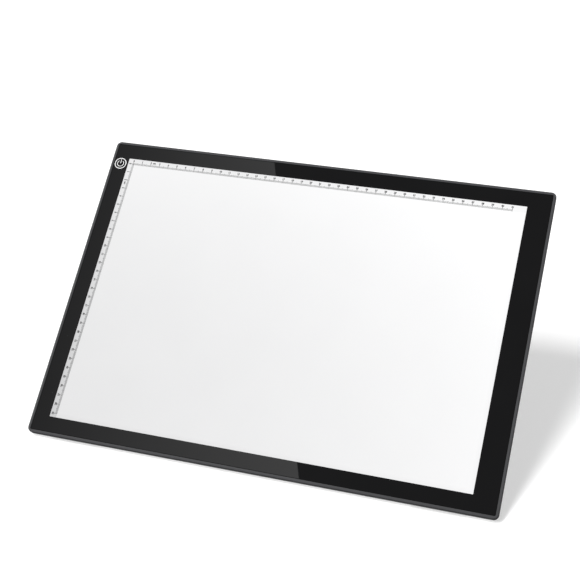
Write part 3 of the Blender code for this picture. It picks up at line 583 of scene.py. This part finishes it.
def carved(shape, cutter):
    """The shape with a cut made before its edges are rounded, still in the pad's axes."""
    made = as_object("carved", shape)
    settle(made, carve(made, [cutter]))
    result = bmesh.new()
    result.from_mesh(made.data)
    bpy.data.objects.remove(made, do_unlink=True)
    bmesh.ops.dissolve_limit(result, angle_limit=math.radians(1), verts=result.verts, edges=result.edges)
    return moved(result, PANEL.inverted())


def piece(name, shape, stands_for, rounding=0.0, cutters=(), look=None):
    """Turn a shape into a piece that stands for CAD nodes and takes the first one's body and slot."""
    made = as_object(name, shape)
    if rounding:
        add_bevel(made, rounding)
    tools = carve(made, cutters)
    if made.modifiers:
        settle(made, tools)
    slot = SLOT_OF[stands_for[0]]
    dress(made, look or LOOKS[slot])
    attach(made, frame["nodes"][stands_for[0]]["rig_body"])
    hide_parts(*stands_for)
    return made


def dress(made, look):
    """Give a piece its material, and smooth shading between its creases."""
    made.data.materials.clear()
    made.data.materials.append(look)
    made.data.shade_smooth()
    made.data.set_sharp_from_angle(angle=CREASE)
    level = made.modifiers.new("level_faces", "WEIGHTED_NORMAL")
    level.keep_sharp = True


def add_print(name, shape, look):
    """Ink on the face of the pad."""
    made = as_object(name, shape)
    dress(made, look)
    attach(made, "panel")
    return made


def grown(node):
    """Corners of a node's box with a gap round it."""
    low, high = box(node)
    room = Vector((GAP, GAP, GAP))
    return low - room, high + room


RIM_ROUNDING = 1.1 * MM
UNDERCUT_IN = 2.0 * MM              # how far the side walls curve in towards the rear face
UNDERCUT_UP = 4.2 * MM              # height over which they do so
LEDGE_HEIGHTS = (COVER_HIGH.z + GAP, GUIDE_HIGH.z)
CLEAR = 1 * MM                      # how far a cutter stands past the face that it cuts
FAR = 20 * MM                       # and how far where it reaches past the whole piece


def make_case():
    """Moulded ring: rounded rim, side walls that curve in at the rear, and the ledge inside."""
    top = CASE_HIGH.z
    lip = 0.25 * MM
    chamfer = 0.15 * MM
    section = arc((RIM_ROUNDING, top - RIM_ROUNDING), RIM_ROUNDING, 180, 90, 8)
    section += arc((WALL - lip, top - lip), lip, 90, 0, 3)
    section += [
        (WALL, LEDGE_HEIGHTS[1]),
        (WALL + LEDGE, LEDGE_HEIGHTS[1]),
        (WALL + LEDGE, LEDGE_HEIGHTS[0]),
        (WALL, LEDGE_HEIGHTS[0]),
        (WALL, chamfer),
        (WALL - chamfer, 0.0),
    ]
    section += [(UNDERCUT_IN * (1 + across), UNDERCUT_UP * (1 + up))
                for across, up in arc((0, 0), 1.0, 270, 180, 12)]
    sharper = (CASE_CORNER_RADIUS - INNER_CORNER_RADIUS) / WALL - 1
    rings = [inset_rectangle(CASE_LOW, CASE_HIGH, CASE_CORNER_RADIUS - sharper * inset, inset, height)
             for inset, height in section]

    deep = 10 * MM
    cutters = []
    for node in ("touch_board", "driver_board"):
        low, high = grown(node)
        cutters.append(block((low.x, low.y, -deep), (high.x, high.y, SHEET_LOW.z)))
    low, high = grown("power_socket_shell")
    cutters.append(loft([[Vector((across, along, height)) for across, height in stadium(low, high)]
                         for along in (low.y - CLEAR, CASE_HIGH.y + CLEAR)]))
    cutters.append(block((low.x, low.y, -deep), (high.x, CASE_HIGH.y - WALL, SHEET_LOW.z)))
    piece("case_frame", loft(rings, True), ["side_frame"], cutters=cutters)


def stadium(low, high, inset=0.0, steps=10):
    """(X, Z) points of a long hole with round ends that fills a box, seen along Y."""
    radius = (high[2] - low[2]) / 2 - inset
    centre_z = (low[2] + high[2]) / 2
    points = arc((high[0] - inset - radius, centre_z), radius, -90, 90, steps)
    points += arc((low[0] + inset + radius, centre_z), radius, 90, 270, steps)
    return points


def make_face():
    """Printed border and lit window: one clear sheet, shown as two flush pieces."""
    edge = 0.2 * MM
    sharp = 0.3 * MM
    section = [(0.0, SHEET_LOW.z)] + arc((edge, SHEET_HIGH.z - edge), edge, 180, 90, 3)
    rings = [inset_rectangle(SHEET_LOW, SHEET_HIGH, SHEET_CORNER_RADIUS, inset, height)
             for inset, height in section]
    rings += [rounded_rectangle(WINDOW_LOW, WINDOW_HIGH, sharp, height)
              for height in (SHEET_HIGH.z, SHEET_LOW.z)]
    piece("printed_border", loft(rings, True), ["front_panel"])

    room = Vector((JOINT_LINE, JOINT_LINE, 0.0))
    low = Vector((*(WINDOW_LOW + room)[:2], SHEET_LOW.z))
    high = Vector((*(WINDOW_HIGH - room)[:2], SHEET_HIGH.z))
    window = piece("lit_window", slab(low, high, sharp), ["front_panel"], look=LOOKS["lit_window"])


# Printed scales along two edges of the window, with a tick at each millimetre
SCALE_TICKS = {"top": 410, "left": 290}
SCALE_START = 6 * MM                # zero, from the window's corner
TICK_NEAR = 7.2 * MM                # inner ends of the ticks, from the window's edge
TICK_ENDS = {10: 3.6 * MM, 5: 4.5 * MM, 1: 5.0 * MM}    # outer ends, at centimetres, halves and between
TICK_WIDTHS = {10: 0.48 * MM, 5: 0.40 * MM, 1: 0.37 * MM}
NUMERAL_HEIGHT = 1.9 * MM
NUMERAL_WEIGHT = 0.11               # added to the strokes, as a share of the type size
UNIT_ALONG = 23.8 * MM              # middle of the unit's two letters, from zero
NUMERAL_FOOT = 3.4 * MM             # foot of the numerals, from the window's edge


def scale_axes(which):
    """Axes of a printed scale: X along it from zero, Y out to the window's edge, at the face."""
    corner = Vector((WINDOW_LOW.x, WINDOW_HIGH.y, SHEET_HIGH.z))
    if which == "top":
        return Matrix.Translation(corner + Vector((SCALE_START, 0.0, 0.0)))
    turn = Matrix(((0, -1, 0, 0), (-1, 0, 0, 0), (0, 0, 1, 0), (0, 0, 0, 1)))
    return Matrix.Translation(corner - Vector((0.0, SCALE_START, 0.0))) @ turn


def lettering(text):
    """Solid letters of the built-in font, centred on X, standing on Y = 0, thin in Z."""
    digit_height = 0.7              # as shares of the type size
    weld = 0.0005
    curve = bpy.data.curves.new("lettering", "FONT")
    curve.body = text
    curve.align_x = "CENTER"
    curve.size = 1.0
    curve.resolution_u = 3
    curve.offset = NUMERAL_WEIGHT / 2
    curve.extrude = 0.5
    holder = linked("lettering", curve)
    bpy.context.view_layer.update()
    graph = bpy.context.evaluated_depsgraph_get()
    mesh = bpy.data.meshes.new_from_object(holder.evaluated_get(graph))
    bpy.data.objects.remove(holder, do_unlink=True)
    shape = bmesh.new()
    shape.from_mesh(mesh)
    bpy.data.meshes.remove(mesh)
    bmesh.ops.remove_doubles(shape, verts=shape.verts, dist=weld)
    bmesh.ops.dissolve_degenerate(shape, dist=weld, edges=shape.edges)
    size = NUMERAL_HEIGHT / digit_height
    return moved(shape, Matrix.Diagonal((size, size, INK, 1.0)))


def join(shape, other, place):
    """Add another shape, moved to its place, to a shape."""
    mesh = bpy.data.meshes.new("join")
    moved(other, place).to_mesh(mesh)
    other.free()
    shape.from_mesh(mesh)
    bpy.data.meshes.remove(mesh)


def make_scale(which, length):
    """Ticks at every millimetre, longer at 5 and 10, a numeral at every centimetre, and the unit."""
    axes = scale_axes(which)
    ticks = bmesh.new()
    for mark in range(length + 1):
        kind = 10 if mark % 10 == 0 else 5 if mark % 5 == 0 else 1
        width = TICK_WIDTHS[kind]
        size = Matrix.Diagonal((width, TICK_NEAR - TICK_ENDS[kind], INK, 1.0))
        place = Matrix.Translation((mark * MM, -(TICK_NEAR + TICK_ENDS[kind]) / 2, 0.0))
        bmesh.ops.create_cube(ticks, size=1.0, matrix=axes @ place @ size)
    bmesh.ops.recalc_face_normals(ticks, faces=ticks.faces)
    add_print(f"scale_ticks_{which}", ticks, SCALE_INK)

    numerals = bmesh.new()
    way = -1 if which == "left" else 1
    upright = axes @ Matrix.Diagonal((way, 1, 1, 1))
    texts = [(str(number), number * 10 * MM) for number in range(length // 10 + 1)]
    for text, along in texts + [("cm", UNIT_ALONG)]:
        place = Matrix.Translation((along * way, -NUMERAL_FOOT, 0.0))
        join(numerals, lettering(text), upright @ place)
    bmesh.ops.recalc_face_normals(numerals, faces=numerals.faces)
    add_print(f"scale_numerals_{which}", numerals, SCALE_INK)


KEY_RADIUS = 6.55 * MM
KEY_LINE = 0.8 * MM
SYMBOL_RADIUS = 3.85 * MM
SYMBOL_LINE = 0.65 * MM
SYMBOL_BAR = (0.1 * MM, 5.2 * MM)   # from the centre to its two ends
SYMBOL_BAR_ROUNDING = 0.49 * SYMBOL_LINE
SYMBOL_OPENING = 38                 # half angle of the opening at the top, in degrees


def make_key_print():
    """White ring round the touch key, with the usual on-off symbol in it."""
    centre = middle("touch_spring")
    spot = (centre.x, centre.y)
    low = SHEET_HIGH.z - INK / 2
    high = SHEET_HIGH.z + INK / 2
    ring = bmesh.new()
    band(ring, spot, KEY_RADIUS - KEY_LINE, KEY_RADIUS, 0, 360, low, high, 96)
    add_print("key_ring", ring, KEY_INK)

    symbol = bmesh.new()
    band(symbol, spot, SYMBOL_RADIUS - SYMBOL_LINE, SYMBOL_RADIUS, 90 + SYMBOL_OPENING,
         450 - SYMBOL_OPENING, low, high, 64)
    bar = slab((spot[0] - SYMBOL_LINE / 2, spot[1] + SYMBOL_BAR[0], low),
               (spot[0] + SYMBOL_LINE / 2, spot[1] + SYMBOL_BAR[1], high), SYMBOL_BAR_ROUNDING)
    join(symbol, bar, Matrix.Identity(4))
    add_print("key_symbol", symbol, KEY_INK)


def screw_spots(prefix):
    """Name, centre and box of each CAD screw whose name starts with the prefix."""
    names = sorted(name for name in frame["nodes"] if name.startswith(prefix))
    return [(name, middle(name), box(name)) for name in names]


GROOVE_INSET = 32 * MM
GROOVE_WIDTH = 1.2 * MM
GROOVE_DEPTH = 0.35 * MM
GROOVE_CORNER_RADIUS = 8 * MM
SCREW_SEATS = (                     # screws, the heights that their seats run between, and steps round
    ("cover_screw_", -CLEAR, 1 * MM, 40),
    ("bracket_screw_", 0.7 * MM, 5 * MM, 24),
)


def make_cover():
    """Rear plate with a sunk outline, a seat for each screw and rounded edges."""
    section = (
        (0.0, -CLEAR), (GROOVE_WIDTH, -CLEAR), (GROOVE_WIDTH, 0.0),
        (0.7 * GROOVE_WIDTH, GROOVE_DEPTH), (0.3 * GROOVE_WIDTH, GROOVE_DEPTH), (0.0, 0.0),
    )
    radius = GROOVE_INSET + GROOVE_CORNER_RADIUS
    rings = [inset_rectangle(COVER_LOW, COVER_HIGH, radius, GROOVE_INSET + across, height)
             for across, height in section]
    cutters = [loft(rings, True)]
    for prefix, bottom, top, steps in SCREW_SEATS:
        for _, centre, (low, high) in screw_spots(prefix):
            seat = (high.x - low.x) / 2 + GAP
            cutters.append(drum(seat, (centre.x, centre.y, bottom), (centre.x, centre.y, top), steps))
    plate = slab(COVER_LOW, COVER_HIGH, SHEET_CORNER_RADIUS, 0.25 * MM)
    piece("rear_cover_plate", plate, ["rear_cover"], cutters=cutters)


HEAD_RADIUS = 2.1 * MM
HEAD_HEIGHT = 0.8 * MM
HEAD_ROUNDING = 0.25 * MM
SHANK_RADIUS = 1.0 * MM
THREAD_PITCH = 0.5 * MM
RECESS_ARM = (1.25 * MM, 0.6 * MM)  # half length of its arms, at the head's face and at the bottom
RECESS_HALF_WIDTH = 0.26 * MM
RECESS_DEPTH = 0.55 * MM
RECESS_TURN = 20                    # degrees


def screw_shape(length, place):
    """Flat-headed screw with a thread: head at local Z = 0, shank along +Z."""
    profile = [(HEAD_RADIUS - HEAD_ROUNDING + across, HEAD_ROUNDING - up)
               for across, up in arc((0, 0), HEAD_ROUNDING, 90, 0, 4)]
    profile += [(HEAD_RADIUS, HEAD_HEIGHT), (SHANK_RADIUS, HEAD_HEIGHT)]
    height = HEAD_HEIGHT + THREAD_PITCH
    while height < length - THREAD_PITCH:
        profile += [(SHANK_RADIUS, height), (0.8 * SHANK_RADIUS, height + THREAD_PITCH / 2)]
        height += THREAD_PITCH
    profile += [(0.8 * SHANK_RADIUS, length - 0.4 * MM), (0.3 * SHANK_RADIUS, length)]
    return turned(profile, place, 32)


def cross_recess(place):
    """Tapered cross that cuts the driver recess into a screw's head, starting clear above it."""
    above = 0.3 * MM
    wide, narrow = RECESS_ARM
    taper = (wide - narrow) / RECESS_DEPTH
    rings = []
    for half, height in ((wide + taper * above, -above), (narrow, RECESS_DEPTH)):
        arm = ((half, -RECESS_HALF_WIDTH), (half, RECESS_HALF_WIDTH), (RECESS_HALF_WIDTH, RECESS_HALF_WIDTH))
        ring = []
        for quarter in range(4):
            turn = Matrix.Rotation(math.radians(RECESS_TURN + 90 * quarter), 4, "Z")
            ring += [turn @ Vector((*point, height)) for point in arm]
        rings.append(ring)
    return moved(loft(rings), place)


def add_screw(name, length, place):
    """One screw that shows."""
    piece(f"{name}_head", screw_shape(length, place), [name], cutters=[cross_recess(place)])


def make_screws():
    """Cover and leg screws; the bracket screws are sealed inside and stay as they are."""
    for name, centre, (low, high) in screw_spots("cover_screw_"):
        add_screw(name, high.z - low.z, Matrix.Translation((centre.x, centre.y, low.z)))
    for name, centre, (low, high) in screw_spots("leg_screw_"):
        side = 1 if centre.x > 0 else -1
        head = Matrix.Translation((high.x if side > 0 else low.x, centre.y, centre.z))
        add_screw(name, high.x - low.x, head @ Matrix.Rotation(-side * math.pi / 2, 4, "Y"))


def floor_depth(along):
    """Height of the floor in the pad's axes at a distance up the pad."""
    return -(PANEL_LIFT + along * math.sin(TILT)) / math.cos(TILT)


def grip_grooves(first, last, count, along, half_width):
    """Cutters for a row of grooves in a rubber sole, square to the floor, at a distance up the pad."""
    depth = 0.5 * MM
    tools = []
    for number in range(count):
        across = first + number * (last - first) / (count - 1)
        tool = block((-half_width, -FAR, -FAR), (half_width, FAR, depth))
        sole = Matrix.Translation((across, along, floor_depth(along))) @ Matrix.Rotation(-TILT, 4, "X")
        tools.append(moved(tool, sole))
    return tools


def make_bar_foot(side):
    """Grooved rubber bar near the lower edge, cut to the floor."""
    node = f"foot_lower_{side}"
    low, high = box(node)
    toe = (-low.z * math.cos(TILT) - PANEL_LIFT) / math.sin(TILT)
    outline = [(low.y, high.z), (low.y, floor_depth(low.y)), (toe, low.z), (high.y, low.z), (high.y, high.z)]
    pitch = 3 * MM
    margin = 1.5 * pitch
    count = int((high.x - low.x - pitch) / pitch)
    grooves = grip_grooves(low.x + margin, high.x - margin, count, toe, 0.45 * MM)
    piece(f"{node}_rubber", prism(outline, low.x, high.x), [node], rounding=0.45 * MM, cutters=grooves)


def make_disc_foot(side):
    """Turned rubber disc near the upper edge, hollowed below."""
    node = f"foot_upper_{side}"
    low, high = box(node)
    centre = middle(node)
    radius = (high.x - low.x) / 2
    thickness = high.z - low.z
    curve = 0.9 * MM
    dish = 0.35 * MM
    chamfer = 0.3 * MM
    profile = [(0.05 * MM, dish), (0.45 * radius, 0.8 * dish)]
    profile += [(0.7 * radius, 0.15 * dish), (0.78 * radius, 0.0)]
    profile += [(radius - curve + across, curve - up) for across, up in arc((0, 0), curve, 90, 0, 6)]
    profile += [(radius, thickness - chamfer), (radius - chamfer, thickness)]
    piece(f"{node}_rubber", turned(profile, Matrix.Translation((centre.x, centre.y, low.z))), [node])


SHAFT_RADIUS = 1.5 * MM
RUNNING_GAP = 0.1 * MM
EAR_RADIUS = 3.5 * MM
LEG_HALF = 3.3 * MM                 # half depth of the legs and the crossbar
SOLE_THICKNESS = 3 * MM
RELIEF_ENDS = (36 * MM, 16 * MM)    # sunk panel of a leg: from its foot, and from the hinge
RELIEF_HALF_WIDTH = 2.1 * MM
RELIEF_DEPTH = 0.8 * MM
RELIEF_CORNER_RADIUS = 2.05 * MM
SCOOP_RADIUS = 34 * MM              # finger scoop in the crossbar
SCOOP_DEPTH = 4 * MM


def on_hinge(across):
    """Place on the hinge's axis, with local Z along it."""
    return Matrix.Translation((across, HINGE.y, HINGE.z)) @ Matrix.Rotation(math.pi / 2, 4, "Y")


def shaft_bore(low, high):
    """Cutter for the shaft's hole through a node's box."""
    start = (low.x - CLEAR, HINGE.y, HINGE.z)
    end = (high.x + CLEAR, HINGE.y, HINGE.z)
    return drum(SHAFT_RADIUS + RUNNING_GAP, start, end)


def foot_line(lift):
    """(Y, Z) points of the open stand's two faces, at a height above the floor measured along it."""
    return [(along, floor_depth(along) + lift) for along in (HINGE.y - LEG_HALF, HINGE.y + LEG_HALF)]


def make_bracket(side):
    """Ears and stop wall around the top of a leg."""
    node = f"hinge_bracket_{side}"
    low, high = box(node)
    leg_low, leg_high = box(f"stand_leg_{side}")
    slope = 2 * MM
    room = 0.4 * MM
    outline = [(HINGE.y - EAR_RADIUS, high.z)]
    outline += arc((HINGE.y, HINGE.z), EAR_RADIUS, 180, 270, 12)
    outline += [(high.y - slope, HINGE.z - EAR_RADIUS), (high.y, HINGE.z), (high.y, high.z)]
    slot = block((leg_low.x - room, HINGE.y - FAR, -FAR), (leg_high.x + room, HINGE.y + LEG_HALF + GAP, FAR))
    shape = carved(prism(outline, low.x, high.x), slot)
    piece(f"{node}_moulding", shape, [node], rounding=0.35 * MM, cutters=[shaft_bore(low, high)])


def make_leg(side):
    """Leg, round at the hinge, with screw seats and a sunk panel in its outer face."""
    node = f"stand_leg_{side}"
    low, high = box(node)
    outward = 1 if side == "right" else -1
    face = high.x if outward > 0 else low.x
    cutters = [shaft_bore(low, high)]
    for _, centre, (screw_low, screw_high) in screw_spots("leg_screw_"):
        if centre.x * outward > 0:
            seat = (screw_high.y - screw_low.y) / 2 + GAP
            cutters.append(drum(seat, (face - outward * (HEAD_HEIGHT + GAP), centre.y, centre.z),
                                (face + outward * CLEAR, centre.y, centre.z)))
    relief_low = low.z + RELIEF_ENDS[0]
    relief_high = HINGE.z - RELIEF_ENDS[1]
    corner = Vector((RELIEF_HALF_WIDTH, (relief_high - relief_low) / 2, RELIEF_DEPTH))
    relief = slab(-corner, corner, RELIEF_CORNER_RADIUS)
    upright = Matrix(((0, 0, 1, 0), (1, 0, 0, 0), (0, 1, 0, 0), (0, 0, 0, 1)))
    place = Matrix.Translation((face, HINGE.y, (relief_low + relief_high) / 2)) @ upright
    cutters.append(moved(relief, place))
    outline = arc((HINGE.y, HINGE.z), LEG_HALF, 0, 180, 16) + foot_line(SOLE_THICKNESS + GAP)
    piece(f"{node}_moulding", prism(outline, low.x, high.x), [node], rounding=0.6 * MM, cutters=cutters)


def make_crossbar():
    """Bar between the feet of the legs, with a finger scoop in its upper edge."""
    low, high = box("stand_crossbar")
    outline = [(HINGE.y + LEG_HALF, high.z), (HINGE.y - LEG_HALF, high.z)] + foot_line(SOLE_THICKNESS + GAP)
    scoop_z = high.z + SCOOP_RADIUS - SCOOP_DEPTH
    scoop = drum(SCOOP_RADIUS, (0.0, HINGE.y - FAR, scoop_z), (0.0, HINGE.y + FAR, scoop_z), 160)
    shape = carved(prism(outline, low.x, high.x), scoop)
    piece("stand_crossbar_moulding", shape, ["stand_crossbar"], rounding=0.6 * MM)


def make_sole():
    """Grooved rubber strip that the open stand rests on."""
    low, high = box("stand_sole")
    outline = foot_line(0.0) + foot_line(SOLE_THICKNESS)[::-1]
    margin = 4 * MM
    grooves = grip_grooves(low.x + margin, high.x - margin, 40, HINGE.y, 0.5 * MM)
    piece("stand_sole_rubber", prism(outline, low.x, high.x), ["stand_sole"], rounding=0.4 * MM,
          cutters=grooves)


def make_shaft():
    """Turned shaft with chamfered ends and a groove for each clip."""
    end = box("stand_shaft")[1].x
    clip_low, clip_high = box("shaft_clip_right")
    neck = 1.15 * MM
    play = 0.05 * MM
    chamfer = 0.3 * MM
    half = [
        (SHAFT_RADIUS, clip_low.x - play), (neck, clip_low.x - play),
        (neck, clip_high.x + play), (SHAFT_RADIUS, clip_high.x + play),
        (SHAFT_RADIUS, end - chamfer), (SHAFT_RADIUS - chamfer, end), (chamfer, end),
    ]
    profile = [(radius, -along) for radius, along in reversed(half)] + half
    piece("stand_shaft_turned", turned(profile, on_hinge(0.0), 64), ["stand_shaft"])


def make_clip(side):
    """Open spring ring in a groove of the shaft."""
    node = f"shaft_clip_{side}"
    low, high = box(node)
    thick = (high.x - low.x) / 2
    clip = bmesh.new()
    band(clip, (0, 0), 1.2 * MM, (high.y - low.y) / 2, 130, 410, -thick, thick, 48)
    piece(f"{node}_spring", moved(clip, on_hinge((low.x + high.x) / 2)), [node], rounding=0.1 * MM)


def make_socket():
    """Rolled steel shell of the power inlet, with its tongue."""
    low, high = box("power_socket_shell")
    wall = 0.3 * MM
    floor_y = low.y + 1 * MM
    lip = 0.1 * MM
    rings = []
    for inset, along in ((0.0, low.y), (0.0, high.y - lip), (lip, high.y), (wall, high.y), (wall, floor_y)):
        rings.append([Vector((across, along, height)) for across, height in stadium(low, high, inset, 14)])
    piece("power_socket_rolled_shell", loft(rings), ["power_socket_shell"])

    low, high = box("power_socket_tongue")
    piece("power_socket_contact_tongue", slab(low, high, 0.5 * MM, 0.1 * MM), ["power_socket_tongue"])


def dress_cad_nodes():
    """Give every CAD node the look of its slot."""
    for name, node in frame["nodes"].items():
        node.data.materials.clear()
        node.data.materials.append(LOOKS[SLOT_OF[name]])


# -------- stage, light and camera

FLOOR_REACH = 15.0
FLOOR_COLOUR = 0.5
FLOOR_GLOW = 0.48                   # the floor is a lit white sweep, so its shadows are light
LAMPS = (                           # name, direction it shines from, strength, apparent size
    ("key", (-0.370, -0.457, 1.0), 3.0, 16),
    ("fill", (-0.65, -1.0, 1.0), 2.8, 20),
    ("rear", (0.25, 1.0, 0.14), 3.2, 20),
)
SKY_LEVEL = 0.235                   # even light from all round
GLOSS_LEVEL = 0.205                 # what polished surfaces see where there is no card
CARD_HEIGHT = 1.5
CARD_EDGE = (-0.433, -0.1379)       # right edge of the card: X at Y = CARD_FAR, and its slope
CARD_FADE = (-0.7934, 0.2998)       # where the card has faded: X at Y = CARD_FAR, and its slope
CARD_FAR = -0.17
CARD_SPAN = (-1.35, 0.2)            # nearest and farthest Y of the card
CARD_NEAR = -0.92
CARD_EDGE_LEVELS = (1.27, 1.02)     # radiance at its right edge, at Y = CARD_NEAR and at Y = CARD_FAR
CARD_FADE_LEVEL = 0.405

AZIMUTH = math.radians(17.98)
ELEVATION = math.radians(28.80)
DISTANCE = 1.28
AIM = Vector((-0.0313, -0.0272, 0.0916))
LENS = 77.91                        # millimetres, on a sensor 36 millimetres wide
SHIFT = (0.0517, 0.0690)


def make_floor():
    """Plain pale floor."""
    look = Look("pale_floor", Specular_IOR_Level=0.1, Emission_Strength=FLOOR_GLOW)
    look.shader.inputs["Emission Color"].default_value = (1.0, 1.0, 1.0, 1.0)
    grain = look.noise(4 * MM, 3.0)
    tone = look.mix(grain, (FLOOR_COLOUR - 0.01,) * 3, (FLOOR_COLOUR + 0.01,) * 3)
    look.link(tone, look.shader.inputs["Base Color"])
    look.link(look.ramp(grain, 0.7, 0.8), look.shader.inputs["Roughness"])
    shape = bmesh.new()
    bmesh.ops.create_grid(shape, x_segments=2, y_segments=2, size=FLOOR_REACH)
    floor = as_object("floor", shape, Matrix.Identity(4))
    floor.data.materials.append(look.material)
    floor.visible_diffuse = False
    floor.visible_glossy = False


def make_reflection_card():
    """Lit card above the pad that only polished surfaces see."""
    columns = 24
    rows = 12
    overrun = 0.9
    shape = bmesh.new()
    level = shape.loops.layers.uv.new("level")
    grid = []
    for row in range(rows + 1):
        along = CARD_SPAN[0] + (CARD_SPAN[1] - CARD_SPAN[0]) * row / rows
        edge = CARD_EDGE[0] + CARD_EDGE[1] * (along - CARD_FAR)
        fade = CARD_FADE[0] + CARD_FADE[1] * (along - CARD_FAR)
        ahead = min(max((CARD_FAR - along) / (CARD_FAR - CARD_NEAR), 0.0), 1.0)
        edge_level = CARD_EDGE_LEVELS[1] + (CARD_EDGE_LEVELS[0] - CARD_EDGE_LEVELS[1]) * ahead
        line = []
        for column in range(columns + 1):
            share = (1 + overrun) * column / columns
            vertex = shape.verts.new((edge + (fade - edge) * share, along, CARD_HEIGHT))
            line.append((vertex, edge_level + (CARD_FADE_LEVEL - edge_level) * min(share, 1.0)))
        grid.append(line)
    for near, far in zip(grid, grid[1:]):
        for column in range(columns):
            corners = (near[column], far[column], far[column + 1], near[column + 1])
            face = shape.faces.new([vertex for vertex, _ in corners])
            for loop, (_, radiance) in zip(face.loops, corners):
                loop[level].uv = (radiance, 0.5)
    card = as_object("reflection_card", shape, Matrix.Identity(4))

    material = bpy.data.materials.new("reflection_card")
    material.use_nodes = True
    tree = material.node_tree
    tree.nodes.clear()
    out = tree.nodes.new("ShaderNodeOutputMaterial")
    glow = tree.nodes.new("ShaderNodeEmission")
    radiance = tree.nodes.new("ShaderNodeUVMap")
    split = tree.nodes.new("ShaderNodeSeparateXYZ")
    radiance.uv_map = "level"
    tree.links.new(radiance.outputs["UV"], split.inputs["Vector"])
    tree.links.new(split.outputs["X"], glow.inputs["Strength"])
    tree.links.new(glow.outputs["Emission"], out.inputs["Surface"])
    card.data.materials.append(material)
    card.visible_camera = False
    card.visible_diffuse = False
    card.visible_shadow = False
    card.visible_transmission = False


def make_lights():
    """Soft key and fill lights from the left, a low one from the rear, and even light from all round."""
    for name, direction, strength, size in LAMPS:
        sun = bpy.data.lights.new(name, "SUN")
        sun.energy = strength
        sun.angle = math.radians(size)
        lamp = linked(name, sun)
        lamp.rotation_mode = "QUATERNION"
        lamp.rotation_quaternion = Vector(direction).to_track_quat("Z", "Y")
        lamp.visible_glossy = False

    world = bpy.data.worlds.new("studio")
    bpy.context.scene.world = world
    world.use_nodes = True
    tree = world.node_tree
    sky = tree.nodes["Background"]
    sky.inputs["Color"].default_value = (1.0, 1.0, 1.0, 1.0)
    path = tree.nodes.new("ShaderNodeLightPath")
    seen = tree.nodes.new("ShaderNodeMapRange")
    seen.inputs["To Min"].default_value = SKY_LEVEL
    seen.inputs["To Max"].default_value = GLOSS_LEVEL
    tree.links.new(path.outputs["Is Glossy Ray"], seen.inputs["Value"])
    behind = tree.nodes.new("ShaderNodeMath")
    behind.operation = "MAXIMUM"
    tree.links.new(seen.outputs["Result"], behind.inputs[0])
    tree.links.new(path.outputs["Is Camera Ray"], behind.inputs[1])
    tree.links.new(behind.outputs["Value"], sky.inputs["Strength"])


def make_camera():
    """Camera at the picture's viewing angle."""
    data = bpy.data.cameras.new("camera")
    data.lens = LENS
    data.sensor_width = 36.0
    data.shift_x, data.shift_y = SHIFT
    camera = linked("camera", data)
    back = Vector((
        math.sin(AZIMUTH) * math.cos(ELEVATION),
        -math.cos(AZIMUTH) * math.cos(ELEVATION),
        math.sin(ELEVATION),
    ))
    camera.location = AIM + DISTANCE * back
    camera.rotation_mode = "QUATERNION"
    camera.rotation_quaternion = back.to_track_quat("Z", "Y")
    bpy.context.scene.camera = camera
    bpy.context.scene.view_settings.view_transform = "Standard"


make_case()
make_face()
for which, ticks in SCALE_TICKS.items():
    make_scale(which, ticks)
make_key_print()
make_cover()
make_screws()
for side in SIDES:
    make_bar_foot(side)
    make_disc_foot(side)
for side in SIDES:
    make_bracket(side)
for side in SIDES:
    make_leg(side)
make_crossbar()
make_sole()
make_shaft()
for side in SIDES:
    make_clip(side)
make_socket()
dress_cad_nodes()
make_floor()
make_reflection_card()
make_lights()
make_camera()
